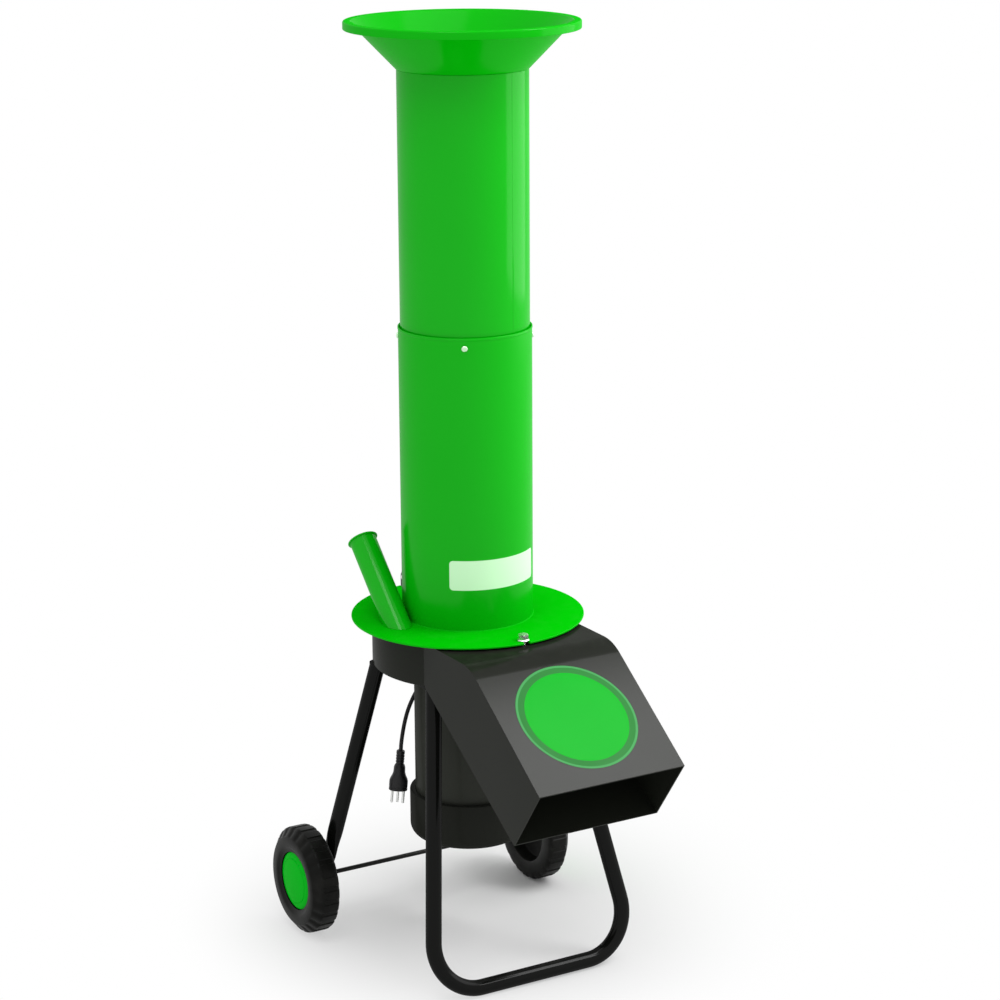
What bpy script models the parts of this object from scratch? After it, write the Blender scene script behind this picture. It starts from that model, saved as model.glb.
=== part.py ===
"""Electric garden shredder: feed tubes on a tilting lid, cutter drum with a
discharge chute, hanging motor, tube legs and two transport wheels.

Metres, +Z up. Every piece is drawn about the feed tube's axis, x = 0 and y = 0,
with the chute facing -Y, and the empty "machine" then moves that axis back so
that the origin lies under the middle of the whole machine, on the floor.
"""
import math

import bmesh
import bpy
from mathutils import Matrix, Vector

# Clearances
FIT = 0.0003
RUN = 0.0005
SLIP = 0.0008

# Feed tubes and funnel
TOTAL_HEIGHT = 1.300
FUNNEL_R = 0.1575
CONE_TOP_R = 0.148
FUNNEL_LIP = 0.011
FUNNEL_DEPTH = 0.063
FUNNEL_SPIGOT = 0.016
CONE_FOOT_PROUD = 0.0012
UPPER_TUBE_R = 0.088
TUBE_WALL = 0.002
LOWER_TUBE_LENGTH = 0.4058
TUBE_LAP = 0.060
TUBE_SCREW_DROP = 0.0138
TUBE_SCREW_TURN = math.radians(-30.0)
TUBE_SCREW_R = 0.0024
TUBE_SCREW_HEAD_R = 0.0042
TUBE_SCREW_HEAD = 0.0022

# Lid
LID_TOP = 0.4853
LID_THICK = 0.003
LID_OVERHANG = 0.0283
BRANCH_GAP = 0.00205
BRANCH_R = 0.01875
BRANCH_WALL = 0.002
BRANCH_LEAN = math.radians(45.0)
BRANCH_LENGTH = 0.138
BRANCH_RIM_R = 0.0215
BRANCH_RIM = 0.0022
CLOSING_BOLT_OUT = 0.0168
CLOSING_BOLT_R = 0.004
CLOSING_BOLT_HEX = 0.013
CLOSING_BOLT_HEAD = 0.0065
CLOSING_BOLT_FLANGE_R = 0.0085
CLOSING_BOLT_FLANGE = 0.0018
CLOSING_BOLT_REACH = 0.0065
CLOSING_NUT_HEIGHT = 0.0068

# Lid hinge
HINGE_OUT = 0.0248
HINGE_RISE = 0.0117
HINGE_PIN_R = 0.003
HINGE_PIN_HEAD_R = 0.0045
HINGE_PIN_HEAD = 0.0018
KNUCKLE_HALF = 0.0115
KNUCKLE_R = 0.0068
EAR_THICK = 0.0035
EAR_EYE_R = 0.0085
STRAP_THICK = 0.003
STRAP_LENGTH = 0.052

# Cutter drum
DRUM_R = 0.1332
DRUM_WALL = 0.0025
DRUM_DEPTH = 0.0656
DRUM_FLOOR = 0.003
SHAFT_HOLE_R = 0.0125

# Discharge chute, a bent sheet duct
CHUTE_HALF = 0.1113
CHUTE_WALL = 0.002
CHUTE_DROP = 0.0023
ROOF_FLAT_END = 0.178
ROOF_BEND_R = 0.068
ROOF_SLOPE = math.radians(35.0)
ROOF_SLOPE_LENGTH = 0.1933
MOUTH_HEIGHT = 0.109
MOUTH_LEAN = math.radians(36.0)
CHUTE_FLOOR_START = 0.0770

# Motor
HOUSING_R = 0.076
HOUSING_WALL = 0.0025
HOUSING_LENGTH = 0.2006
COWL_STEP = 0.0078
COWL_WALL = 0.0022
COWL_LAP = 0.012
COWL_HEIGHT = 0.067
COWL_ROUND = 0.016
VENT_COUNT = 12
VENT_WIDTH = 0.006
VENT_INNER_R = 0.024
VENT_INSET = 0.022
SHIELD_THICK = 0.014
BEARING_R = 0.020
BEARING_WIDTH = 0.012
SHAFT_R = 0.0085
SHAFT_COLLAR_R = 0.0105
SHAFT_END_GAP = 0.021
STATOR_BORE_R = 0.042
WINDING_WALL = 0.0035
WINDING_ROOM_ROUND = 0.0115
WINDING_OVERHANG = 0.026
WINDING_ROOM_ABOVE = 0.0058
WINDING_ROOM_BELOW = 0.0277
AIR_GAP = 0.0006
FAN_RUN = 0.0138
FAN_SEAT = 0.002
FAN_BLADE_HEIGHT = 0.020
FAN_BLADES = 8
MOTOR_BOLT_INSET = 0.016
BOLT_R = 0.004
BOLT_HEX = 0.013
BOLT_HEAD = 0.0052

# Rotor
DISC_RUN = 0.0107
DISC_THICK = 0.006
DISC_DROP = 0.0243
HUB_R = 0.022
HUB_LENGTH = 0.021
PADDLE_COUNT = 4
PADDLE_RUN = 0.0026
PADDLE_THICK = 0.005
PADDLE_INNER_R = 0.058
KNIFE_THICK = 0.006
KNIFE_START = 0.036
KNIFE_INSET = 0.003
KNIFE_TRAIL = 0.014
KNIFE_LEAD = 0.022
KNIFE_BEVEL = 0.0095
CHIP_SLOT = 0.008
SHAFT_NUT_HEX = 0.024
SHAFT_NUT_HEIGHT = 0.010
COUNTER_KNIFE_GAP = 0.0015
COUNTER_KNIFE_START = 0.050
COUNTER_KNIFE_INSET = 0.0127
COUNTER_KNIFE_WIDTH = 0.014
COUNTER_KNIFE_BEVEL = 0.004

# Legs
LEG_R = 0.011
FRONT_BAR_Y = 0.1806
FRONT_BAR_HALF = 0.1613
FRONT_BEND_R = 0.065
FRONT_TOP_X = 0.0963
FRONT_TOP_Y = 0.0743
REAR_TOP_X = 0.1125
REAR_TOP_Y = 0.055
REAR_FOOT_X = 0.1596
REAR_FOOT_THICK = 0.006
REAR_FOOT_HALF = 0.0155
REAR_FLAT_LENGTH = 0.040
TAB_THICK = 0.004
TAB_R = 0.0125
FRONT_BOLT_INSET = 0.0224
FRONT_BOLT_TURN = math.radians(28.88)
REAR_BOLT_INSET = 0.0294
REAR_BOLT_TURN = math.radians(25.08)
LEG_BOLT_LENGTH = 0.0095

# Wheels
WHEEL_R = 0.0773
WHEEL_WIDTH = 0.0384
WHEEL_OUTER_X = 0.2125
WHEEL_Y = 0.1412
SHOULDER_DROP = 0.0138
SHOULDER_WIDTH = 0.0091
RIM_DEPTH = 0.0253
HUB_OUTER_R = 0.014
LUG_COUNT = 24
LUG_DEPTH = 0.0022
AXLE_R = 0.00325
AXLE_NUT_R = 0.0080
AXLE_NUT = 0.0020
AXLE_STICK = 0.0030
CAP_R = 0.042
CAP_WALL = 0.002
CAP_DOME = 0.0058

# Switch box behind the motor
BOX_LEFT = 0.022
BOX_RIGHT = 0.040
BOX_DEPTH = 0.026
BOX_TOP_GAP = 0.0041
BOX_HEIGHT = 0.040
BOX_WALL = 0.0022
ROCKER_X = -0.008
ROCKER_HALF_WIDTH = 0.0065
ROCKER_HALF_HEIGHT = 0.0095
ROCKER_REST = math.radians(10.0)
CAPACITOR_R = 0.010
CAPACITOR_LENGTH = 0.033

# Short supply cord with its plug
GLAND_X = -0.010
GLAND_OUT = 0.012
BOOT_LENGTH = 0.020
BOOT_BASE_R = 0.0062
BOOT_TIP_R = 0.0040
BOOT_LEAN = math.radians(45.0)
HANG_TURN = math.radians(171.8)
CORD_R = 0.0029
# Reach out from the gland and drop under the switch box of the cord's route, chosen by hand
CORD_ROUTE = (
    (0.0143, 0.0144), (0.0200, 0.0204), (0.0257, 0.0283), (0.0308, 0.0378),
    (0.0351, 0.0471), (0.0386, 0.0567), (0.0416, 0.0674), (0.0441, 0.0784),
    (0.0462, 0.0900), (0.0477, 0.1005), (0.0485, 0.1098),
)
PLUG_LENGTH = 0.060
PLUG_NECK_R = 0.0061
PLUG_HALF_WIDTH = 0.0133
PLUG_HALF_DEPTH = 0.0085
PLUG_TURN = math.radians(-30.0)
PLUG_LEAN = math.radians(5.0)
PIN_R = 0.002
PIN_LENGTH = 0.019
PIN_SPACING = 0.0080
PIN_OFFSET = 0.003

# Facets on round pieces
BIG = 48
MEDIUM = 32
SMALL = 12

# Worked out from the sizes above
LID_BOTTOM = LID_TOP - LID_THICK
DRUM_TOP = LID_BOTTOM - FIT
DRUM_BOTTOM = DRUM_TOP - DRUM_DEPTH
FLOOR_TOP = DRUM_BOTTOM + DRUM_FLOOR
ROOF_TOP = LID_BOTTOM - CHUTE_DROP
LOWER_BORE_R = UPPER_TUBE_R + SLIP
LID_R = DRUM_R + LID_OVERHANG
CLOSING_BOLT_Y = DRUM_R + CLOSING_BOLT_OUT
HINGE_Y = DRUM_R + HINGE_OUT
LOWER_TUBE_R = LOWER_BORE_R + TUBE_WALL
BRANCH_X = LOWER_TUBE_R + BRANCH_GAP + BRANCH_R
TUBE_TOP = TOTAL_HEIGHT - FUNNEL_DEPTH
LOWER_TUBE_TOP = LID_TOP + FIT + LOWER_TUBE_LENGTH
DISC_R = DRUM_R - DRUM_WALL - DISC_RUN
DISC_TOP = LID_BOTTOM - DISC_DROP
KNIFE_BOTTOM = DISC_TOP + FIT
KNIFE_TOP = KNIFE_BOTTOM + KNIFE_THICK
HINGE_Z = LID_TOP + HINGE_RISE
MOUTH_TOP_Y = (ROOF_FLAT_END + ROOF_BEND_R * math.sin(ROOF_SLOPE)
               + ROOF_SLOPE_LENGTH * math.cos(ROOF_SLOPE))
MOUTH_TOP_Z = (ROOF_TOP - ROOF_BEND_R * (1 - math.cos(ROOF_SLOPE))
               - ROOF_SLOPE_LENGTH * math.sin(ROOF_SLOPE))
MOUTH_LOW_Y = MOUTH_TOP_Y - MOUTH_HEIGHT * math.sin(MOUTH_LEAN)
MOUTH_LOW_Z = MOUTH_TOP_Z - MOUTH_HEIGHT * math.cos(MOUTH_LEAN)
TUBE_Y = (MOUTH_TOP_Y - WHEEL_Y - WHEEL_R) / 2
WHEEL_X = WHEEL_OUTER_X - WHEEL_WIDTH / 2
RIM_R = WHEEL_R - RIM_DEPTH
HOUSING_TOP = DRUM_BOTTOM - FIT
HOUSING_BOTTOM = HOUSING_TOP - HOUSING_LENGTH
HOUSING_BORE_R = HOUSING_R - HOUSING_WALL
STATOR_TOP = HOUSING_TOP - SHIELD_THICK - WINDING_ROOM_ABOVE - WINDING_OVERHANG - FIT
STATOR_BOTTOM = HOUSING_BOTTOM + SHIELD_THICK + WINDING_ROOM_BELOW + WINDING_OVERHANG + FIT
WINDING_END_R = HOUSING_BORE_R - WINDING_ROOM_ROUND
MOTOR_BOLT_CIRCLE = HOUSING_R - MOTOR_BOLT_INSET
COWL_R = HOUSING_R + COWL_STEP
VENT_OUTER_R = COWL_R - VENT_INSET
COWL_TOP = HOUSING_BOTTOM + COWL_LAP
COWL_BOTTOM = COWL_TOP - COWL_HEIGHT
SHAFT_BOTTOM = COWL_BOTTOM + SHAFT_END_GAP
FAN_BOTTOM = SHAFT_BOTTOM + FAN_SEAT
FAN_R = COWL_R - COWL_WALL - FAN_RUN
KNIFE_END = DISC_R - KNIFE_INSET
COUNTER_KNIFE_END = DRUM_R - DRUM_WALL - COUNTER_KNIFE_INSET
BOX_BACK = HOUSING_R + BOX_DEPTH
BOX_BOTTOM = HOUSING_TOP - BOX_TOP_GAP - BOX_HEIGHT
GLAND_Y = HOUSING_R + GLAND_OUT
WEB_OUTER_X = WHEEL_X + 0.004

# Finishes: colour, roughness, metallic
GREEN = ((0.02, 0.45, 0.03), 0.30, 0.0)
BLACK = ((0.035, 0.036, 0.035), 0.42, 0.0)
LEG_BLACK = ((0.012, 0.012, 0.012), 0.25, 0.0)
RUBBER = ((0.02, 0.02, 0.02), 0.75, 0.0)
ZINC = ((0.75, 0.76, 0.76), 0.30, 1.0)
STEEL = ((0.42, 0.42, 0.43), 0.35, 1.0)
CAST = ((0.30, 0.31, 0.32), 0.55, 1.0)
COPPER = ((0.55, 0.26, 0.12), 0.45, 1.0)
RED = ((0.55, 0.02, 0.02), 0.35, 0.0)
PALE = ((0.70, 0.71, 0.70), 0.45, 0.0)


def clear_scene():
    for old in list(bpy.data.objects):
        bpy.data.objects.remove(old, do_unlink=True)


def axis_empty(name, location, parent=None):
    empty = bpy.data.objects.new(name, None)
    empty.location = location
    empty.parent = parent
    bpy.context.scene.collection.objects.link(empty)
    return empty


def solid(name, bm):
    """Closes a bmesh into an object whose faces point out."""
    bmesh.ops.recalc_face_normals(bm, faces=bm.faces)
    mesh = bpy.data.meshes.new(name)
    bm.to_mesh(mesh)
    bm.free()
    piece = bpy.data.objects.new(name, mesh)
    bpy.context.scene.collection.objects.link(piece)
    return piece


def turned(name, profile, steps, pose=None):
    """Spins a closed (radius, height) outline about Z. Points on the axis merge."""
    bm = bmesh.new()
    ring = [bm.verts.new((radius, 0.0, height)) for radius, height in profile]
    edges = [bm.edges.new((a, b)) for a, b in zip(ring, ring[1:] + ring[:1])]
    bmesh.ops.spin(bm, geom=ring + edges, cent=(0, 0, 0), axis=(0, 0, 1), dvec=(0, 0, 0),
                   angle=2 * math.pi, steps=steps, use_merge=True, use_duplicate=False)
    bmesh.ops.remove_doubles(bm, verts=bm.verts, dist=1e-6)
    bmesh.ops.dissolve_degenerate(bm, dist=1e-7, edges=bm.edges)
    loose = [edge for edge in bm.edges if not edge.link_faces]
    bmesh.ops.delete(bm, geom=loose, context="EDGES")
    if pose:
        bmesh.ops.transform(bm, matrix=pose, verts=bm.verts)
    return solid(name, bm)


def rod(name, radius, low, high, steps=SMALL, pose=None):
    """A plain round bar between two heights."""
    return turned(name, [(0, low), (radius, low), (radius, high), (0, high)], steps, pose)


def extruded(name, outline, low, high, across="Z"):
    """Extrudes a flat outline. Across X the outline is (y, z), across Z it is (x, y)."""
    bm = bmesh.new()
    if across == "X":
        verts = [bm.verts.new((low, a, b)) for a, b in outline]
        step = Vector((high - low, 0, 0))
    else:
        verts = [bm.verts.new((a, b, low)) for a, b in outline]
        step = Vector((0, 0, high - low))
    face = bm.faces.new(verts)
    grown = bmesh.ops.extrude_face_region(bm, geom=[face])
    top = [item for item in grown["geom"] if isinstance(item, bmesh.types.BMVert)]
    bmesh.ops.translate(bm, vec=step, verts=top)
    return solid(name, bm)


def block(name, low, high):
    (x0, y0, z0), (x1, y1, z1) = low, high
    return extruded(name, [(x0, y0), (x1, y0), (x1, y1), (x0, y1)], z0, z1)


def hexagon(across_flats, turn=0.0, centre=(0.0, 0.0)):
    reach = across_flats / 2 / math.cos(math.pi / 6)
    return [(centre[0] + reach * math.cos(turn + k * math.pi / 3),
             centre[1] + reach * math.sin(turn + k * math.pi / 3)) for k in range(6)]


def arc(centre, radius, start, end, steps):
    """Points on an arc, angles in radians from the first axis to the second."""
    return [(centre[0] + radius * math.cos(start + (end - start) * k / steps),
             centre[1] + radius * math.sin(start + (end - start) * k / steps))
            for k in range(steps + 1)]


def lofted(name, sections, steps=16):
    """Joins rings of (centre, side vector, up vector), each ring an ellipse."""
    bm = bmesh.new()
    rings = []
    for centre, side, up in sections:
        rings.append([bm.verts.new(Vector(centre) + Vector(side) * math.cos(2 * math.pi * k / steps)
                                   + Vector(up) * math.sin(2 * math.pi * k / steps))
                      for k in range(steps)])
    for low, high in zip(rings, rings[1:]):
        for k in range(steps):
            bm.faces.new((low[k - 1], low[k], high[k], high[k - 1]))
    bm.faces.new(rings[0])
    bm.faces.new(rings[-1])
    return solid(name, bm)


def bent_tube(name, points, radius, resolution):
    """A round bar along points: a curve with a bevel and filled caps, made into a mesh."""
    curve = bpy.data.curves.new(name, "CURVE")
    curve.dimensions = "3D"
    curve.twist_mode = "Z_UP"
    curve.bevel_depth = radius
    curve.bevel_resolution = resolution
    curve.use_fill_caps = True
    spline = curve.splines.new("POLY")
    spline.points.add(len(points) - 1)
    for target, point in zip(spline.points, points):
        target.co = (*point, 1.0)
    draft = bpy.data.objects.new(name, curve)
    bpy.context.scene.collection.objects.link(draft)
    bpy.context.view_layer.update()
    shape = draft.evaluated_get(bpy.context.evaluated_depsgraph_get())
    bm = bmesh.new()
    bm.from_mesh(bpy.data.meshes.new_from_object(shape))
    bpy.data.objects.remove(draft, do_unlink=True)
    bmesh.ops.remove_doubles(bm, verts=bm.verts, dist=1e-6)
    return solid(name, bm)


def combine(target, tools, operation):
    """Applies a Boolean with each tool in turn, then drops the tools."""
    for tool in tools:
        change = target.modifiers.new(tool.name, "BOOLEAN")
        change.operation = operation
        change.solver = "EXACT"
        change.object = tool
    bpy.context.view_layer.update()
    shape = target.evaluated_get(bpy.context.evaluated_depsgraph_get())
    mesh = bpy.data.meshes.new_from_object(shape)
    target.modifiers.clear()
    target.data = mesh
    for tool in tools:
        bpy.data.objects.remove(tool, do_unlink=True)


def cut(target, *tools):
    combine(target, tools, "DIFFERENCE")


def join(target, *tools):
    combine(target, tools, "UNION")


def fit_out(piece, finish, axis):
    """Gives a piece its material, its shading and the empty that carries it."""
    colour, roughness, metallic = finish
    material = bpy.data.materials.new(piece.name)
    material.use_nodes = True
    shader = material.node_tree.nodes["Principled BSDF"]
    shader.inputs["Base Color"].default_value = (*colour, 1.0)
    shader.inputs["Roughness"].default_value = roughness
    shader.inputs["Metallic"].default_value = metallic
    piece.data.name = piece.name
    piece.data.materials.clear()
    piece.data.materials.append(material)
    piece.data.shade_smooth()
    piece.data.set_sharp_from_angle(angle=math.radians(30))
    piece.parent = axis
    if axis.parent:
        piece.location = -axis.location
    return piece


def along(direction, start=(0, 0, 0)):
    """A pose that turns +Z to a direction and moves it to a start point."""
    turn = Vector(direction).to_track_quat("Z", "Y").to_matrix().to_4x4()
    return Matrix.Translation(Vector(start)) @ turn


def make_funnel(axis):
    """Sheet funnel: straight cone, flat rim turned down outside, spigot inside the upper tube."""
    lip_low = TOTAL_HEIGHT - FUNNEL_LIP
    under = TOTAL_HEIGHT - TUBE_WALL
    slant = TUBE_WALL * 1.4
    spigot_r = UPPER_TUBE_R - TUBE_WALL - FIT
    seat = TUBE_TOP + FIT
    profile = [
        (spigot_r, seat - FUNNEL_SPIGOT), (spigot_r, seat), (UPPER_TUBE_R + CONE_FOOT_PROUD, seat),
        (CONE_TOP_R, under), (FUNNEL_R - TUBE_WALL, under), (FUNNEL_R - TUBE_WALL, lip_low),
        (FUNNEL_R, lip_low), (FUNNEL_R, TOTAL_HEIGHT), (CONE_TOP_R + TUBE_WALL - slant, TOTAL_HEIGHT),
        (spigot_r - TUBE_WALL, seat - slant), (spigot_r - TUBE_WALL, seat - FUNNEL_SPIGOT),
    ]
    fit_out(turned("feed_funnel", profile, BIG), GREEN, axis)


def tube_wall(name, radius, low, high):
    bore = radius - TUBE_WALL
    return turned(name, [(radius, high), (radius, low), (bore, low), (bore, high)], BIG)


def make_feed_tubes(axis):
    """Upper tube slides into the lower one, and four screws hold them."""
    upper = tube_wall("upper_feed_tube", UPPER_TUBE_R, LOWER_TUBE_TOP - TUBE_LAP, TUBE_TOP)
    lower = tube_wall("lower_feed_tube", LOWER_TUBE_R, LID_TOP + FIT, LOWER_TUBE_TOP)
    height = LOWER_TUBE_TOP - TUBE_SCREW_DROP
    seat = LOWER_TUBE_R + FIT
    tip = UPPER_TUBE_R - TUBE_WALL - 0.0015
    for number in range(4):
        turn = TUBE_SCREW_TURN - math.pi / 2 + number * math.pi / 2
        pose = along((math.cos(turn), math.sin(turn), 0), (0, 0, height))
        for tube in (upper, lower):
            cut(tube, rod("hole", TUBE_SCREW_R + FIT, tip, seat + TUBE_SCREW_HEAD, SMALL, pose))
        profile = [(0, tip), (TUBE_SCREW_R, tip + 0.0008), (TUBE_SCREW_R, seat), (TUBE_SCREW_HEAD_R, seat),
                   (TUBE_SCREW_HEAD_R * 0.86, seat + TUBE_SCREW_HEAD * 0.7), (0, seat + TUBE_SCREW_HEAD)]
        screw = turned("tube_screw_%d" % (number + 1), profile, SMALL, pose)
        fit_out(screw, ZINC, axis)
    fit_out(upper, GREEN, axis)
    fit_out(lower, GREEN, axis)


def branch_pose():
    return along((0, math.sin(BRANCH_LEAN), math.cos(BRANCH_LEAN)), (-BRANCH_X, 0, LID_TOP))


def make_lid(axis):
    """Flat round lid with the throat, the branch tube's hole, the bolt slot and the hinge notch."""
    lid = turned("lid_plate", [(LID_R, LID_TOP), (LID_R, LID_BOTTOM),
                               (LOWER_BORE_R, LID_BOTTOM), (LOWER_BORE_R, LID_TOP)], BIG)
    reach = LID_THICK * 6
    branch_hole = rod("hole", BRANCH_R - BRANCH_WALL, -reach, reach, 24, branch_pose())
    slot_half = CLOSING_BOLT_R + SLIP
    slot = block("slot", (-slot_half, -LID_R * 1.2, LID_BOTTOM - reach),
                 (slot_half, -CLOSING_BOLT_Y, LID_TOP + reach))
    slot_end = rod("slot_end", slot_half, LID_BOTTOM - reach, LID_TOP + reach, 16,
                   Matrix.Translation((0, -CLOSING_BOLT_Y, 0)))
    join(slot, slot_end)
    notch_half = KNUCKLE_HALF + EAR_THICK + HINGE_PIN_HEAD + 0.0035
    notch = block("notch", (-notch_half, HINGE_Y - HINGE_RISE, LID_BOTTOM - reach),
                  (notch_half, LID_R * 1.2, LID_TOP + reach))
    cut(lid, branch_hole, slot, notch)
    fit_out(lid, GREEN, axis)


def make_branch_tube(axis):
    """Thin tube for branches, leaning back, cut flush with the lid."""
    bore = BRANCH_R - BRANCH_WALL
    low = -BRANCH_R * 2
    profile = [(bore, low), (BRANCH_R, low), (BRANCH_R, BRANCH_LENGTH - BRANCH_RIM),
               (BRANCH_RIM_R, BRANCH_LENGTH - BRANCH_RIM), (BRANCH_RIM_R, BRANCH_LENGTH), (bore, BRANCH_LENGTH)]
    tube = turned("branch_tube", profile, 24, branch_pose())
    span = BRANCH_R * 6
    below = block("below", (-BRANCH_X - span, -span, LID_TOP - span), (-BRANCH_X + span, span, LID_TOP + FIT))
    cut(tube, below)
    fit_out(tube, GREEN, axis)


def make_knuckle(axis):
    """Strap on the lid with the rolled eye that turns on the hinge pin."""
    low = LID_TOP + FIT
    front = HINGE_Y - STRAP_LENGTH
    outline = [(front, low), (HINGE_Y - HINGE_RISE * 0.8, low), (HINGE_Y, HINGE_Z - KNUCKLE_R * 0.9),
               (HINGE_Y, HINGE_Z + KNUCKLE_R * 0.9), (HINGE_Y - STRAP_THICK * 5, low + STRAP_THICK),
               (front, low + STRAP_THICK)]
    strap = extruded("lid_knuckle", outline, -KNUCKLE_HALF, KNUCKLE_HALF, "X")
    pose = along((1, 0, 0), (0, HINGE_Y, HINGE_Z))
    join(strap, rod("eye", KNUCKLE_R, -KNUCKLE_HALF, KNUCKLE_HALF, 20, pose))
    cut(strap, rod("bore", HINGE_PIN_R + FIT, -0.03, 0.03, 20, pose))
    fit_out(strap, GREEN, axis)


def make_counter_knife(axis):
    """Fixed blade under the lid beside the branch opening."""
    low = KNIFE_TOP + COUNTER_KNIFE_GAP
    high = LID_BOTTOM - FIT
    back = -(BRANCH_R + BRANCH_R / math.tan(BRANCH_LEAN) * 0.7)
    front = back - COUNTER_KNIFE_WIDTH
    outline = [(front, high), (front, low + COUNTER_KNIFE_BEVEL), (back - COUNTER_KNIFE_BEVEL, low),
               (back, low), (back, high)]
    blade = extruded("counter_knife", outline, -COUNTER_KNIFE_END, -COUNTER_KNIFE_START, "X")
    fit_out(blade, STEEL, axis)


def make_closing_bolt(axis):
    """Flanged bolt in the lid's open slot, and the nut welded under the chute's roof."""
    seat = LID_TOP + FIT
    crown = seat + CLOSING_BOLT_FLANGE
    pose = Matrix.Translation((0, -CLOSING_BOLT_Y, 0))
    tip = ROOF_TOP - CLOSING_BOLT_REACH
    profile = [(0, tip), (CLOSING_BOLT_R * 0.8, tip), (CLOSING_BOLT_R, tip + 0.001), (CLOSING_BOLT_R, seat),
               (CLOSING_BOLT_FLANGE_R, seat), (CLOSING_BOLT_FLANGE_R * 0.95, crown), (0, crown)]
    bolt = turned("closing_bolt", profile, 24, pose)
    head = extruded("head", hexagon(CLOSING_BOLT_HEX, 0.2, (0, -CLOSING_BOLT_Y)), seat + 0.0005,
                    crown + CLOSING_BOLT_HEAD)
    join(bolt, head)
    fit_out(bolt, ZINC, axis)


def make_closing_nut(axis):
    high = ROOF_TOP - CHUTE_WALL - FIT
    centre = (0, -CLOSING_BOLT_Y)
    nut = extruded("closing_nut", hexagon(CLOSING_BOLT_HEX + 0.002, 0.0, centre), high - CLOSING_NUT_HEIGHT, high)
    cut(nut, rod("bore", CLOSING_BOLT_R + SLIP, high - 0.03, high + 0.01, 16,
                 Matrix.Translation((*centre, 0))))
    fit_out(nut, ZINC, axis)


def make_hinge_bracket(axis):
    """Two ears on a back plate that hugs the drum, with the pin through both."""
    top = LID_BOTTOM - 0.008
    low = DRUM_BOTTOM + 0.016
    inner = DRUM_R - 0.004
    rear = HINGE_Y + EAR_EYE_R
    eye = arc((HINGE_Y, HINGE_Z), EAR_EYE_R, 0, math.pi, 8)
    outline = [(inner, low), (DRUM_R + 0.008, low), (rear, top - 0.002), *eye, (HINGE_Y - EAR_EYE_R, top), (inner, top)]
    inside = KNUCKLE_HALF + RUN
    outside = inside + EAR_THICK
    bracket = extruded("hinge_bracket", outline, -outside, -inside, "X")
    join(bracket, extruded("ear", outline, inside, outside, "X"))
    join(bracket, block("plate", (-outside + 0.001, inner, low + 0.001), (outside - 0.001, DRUM_R + 0.004, top - 0.001)))
    cut(bracket, rod("drum_side", DRUM_R + FIT, low - 0.01, top + 0.01, BIG))
    pose = along((1, 0, 0), (0, HINGE_Y, HINGE_Z))
    cut(bracket, rod("bore", HINGE_PIN_R + FIT, -0.03, 0.03, 20, pose))
    fit_out(bracket, BLACK, axis)
    face = outside + FIT
    end = face + HINGE_PIN_HEAD
    profile = [(0, -end), (HINGE_PIN_HEAD_R * 0.8, -end), (HINGE_PIN_HEAD_R, -face), (HINGE_PIN_R, -face),
               (HINGE_PIN_R, face), (HINGE_PIN_HEAD_R, face), (HINGE_PIN_HEAD_R * 0.8, end), (0, end)]
    fit_out(turned("hinge_pin", profile, 16, pose), ZINC, axis)


def front_bolt_place(side):
    circle = DRUM_R - FRONT_BOLT_INSET
    return side * circle * math.cos(FRONT_BOLT_TURN), -circle * math.sin(FRONT_BOLT_TURN)


def rear_bolt_place(side):
    circle = DRUM_R - REAR_BOLT_INSET
    return side * circle * math.cos(REAR_BOLT_TURN), circle * math.sin(REAR_BOLT_TURN)


def leg_bolt_places():
    return [front_bolt_place(-1), rear_bolt_place(-1), front_bolt_place(1), rear_bolt_place(1)]


def motor_bolt_places():
    return [(MOTOR_BOLT_CIRCLE * math.cos(math.pi / 4 + k * math.pi / 2),
             MOTOR_BOLT_CIRCLE * math.sin(math.pi / 4 + k * math.pi / 2)) for k in range(4)]


def make_drum(axis):
    """Round drum, open in front where the chute joins it, with a flat floor for the motor."""
    bore = DRUM_R - DRUM_WALL
    profile = [(SHAFT_HOLE_R, DRUM_BOTTOM), (DRUM_R, DRUM_BOTTOM), (DRUM_R, DRUM_TOP), (bore, DRUM_TOP),
               (bore, FLOOR_TOP), (SHAFT_HOLE_R, FLOOR_TOP)]
    drum = turned("chamber_drum", profile, BIG)
    front = block("front", (-DRUM_R * 1.2, -DRUM_R * 1.2, DRUM_BOTTOM - 0.01),
                  (DRUM_R * 1.2, -CHUTE_FLOOR_START + FIT, DRUM_TOP + 0.01))
    holes = [rod("hole", BOLT_R + FIT, DRUM_BOTTOM - 0.01, FLOOR_TOP + 0.01, SMALL, Matrix.Translation((x, y, 0)))
             for x, y in leg_bolt_places() + motor_bolt_places()]
    cut(drum, front, *holes)
    fit_out(drum, BLACK, axis)


def chute_floor_direction():
    run = Vector((-(MOUTH_LOW_Y - CHUTE_FLOOR_START), MOUTH_LOW_Z - DRUM_BOTTOM))
    return run.normalized()


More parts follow.
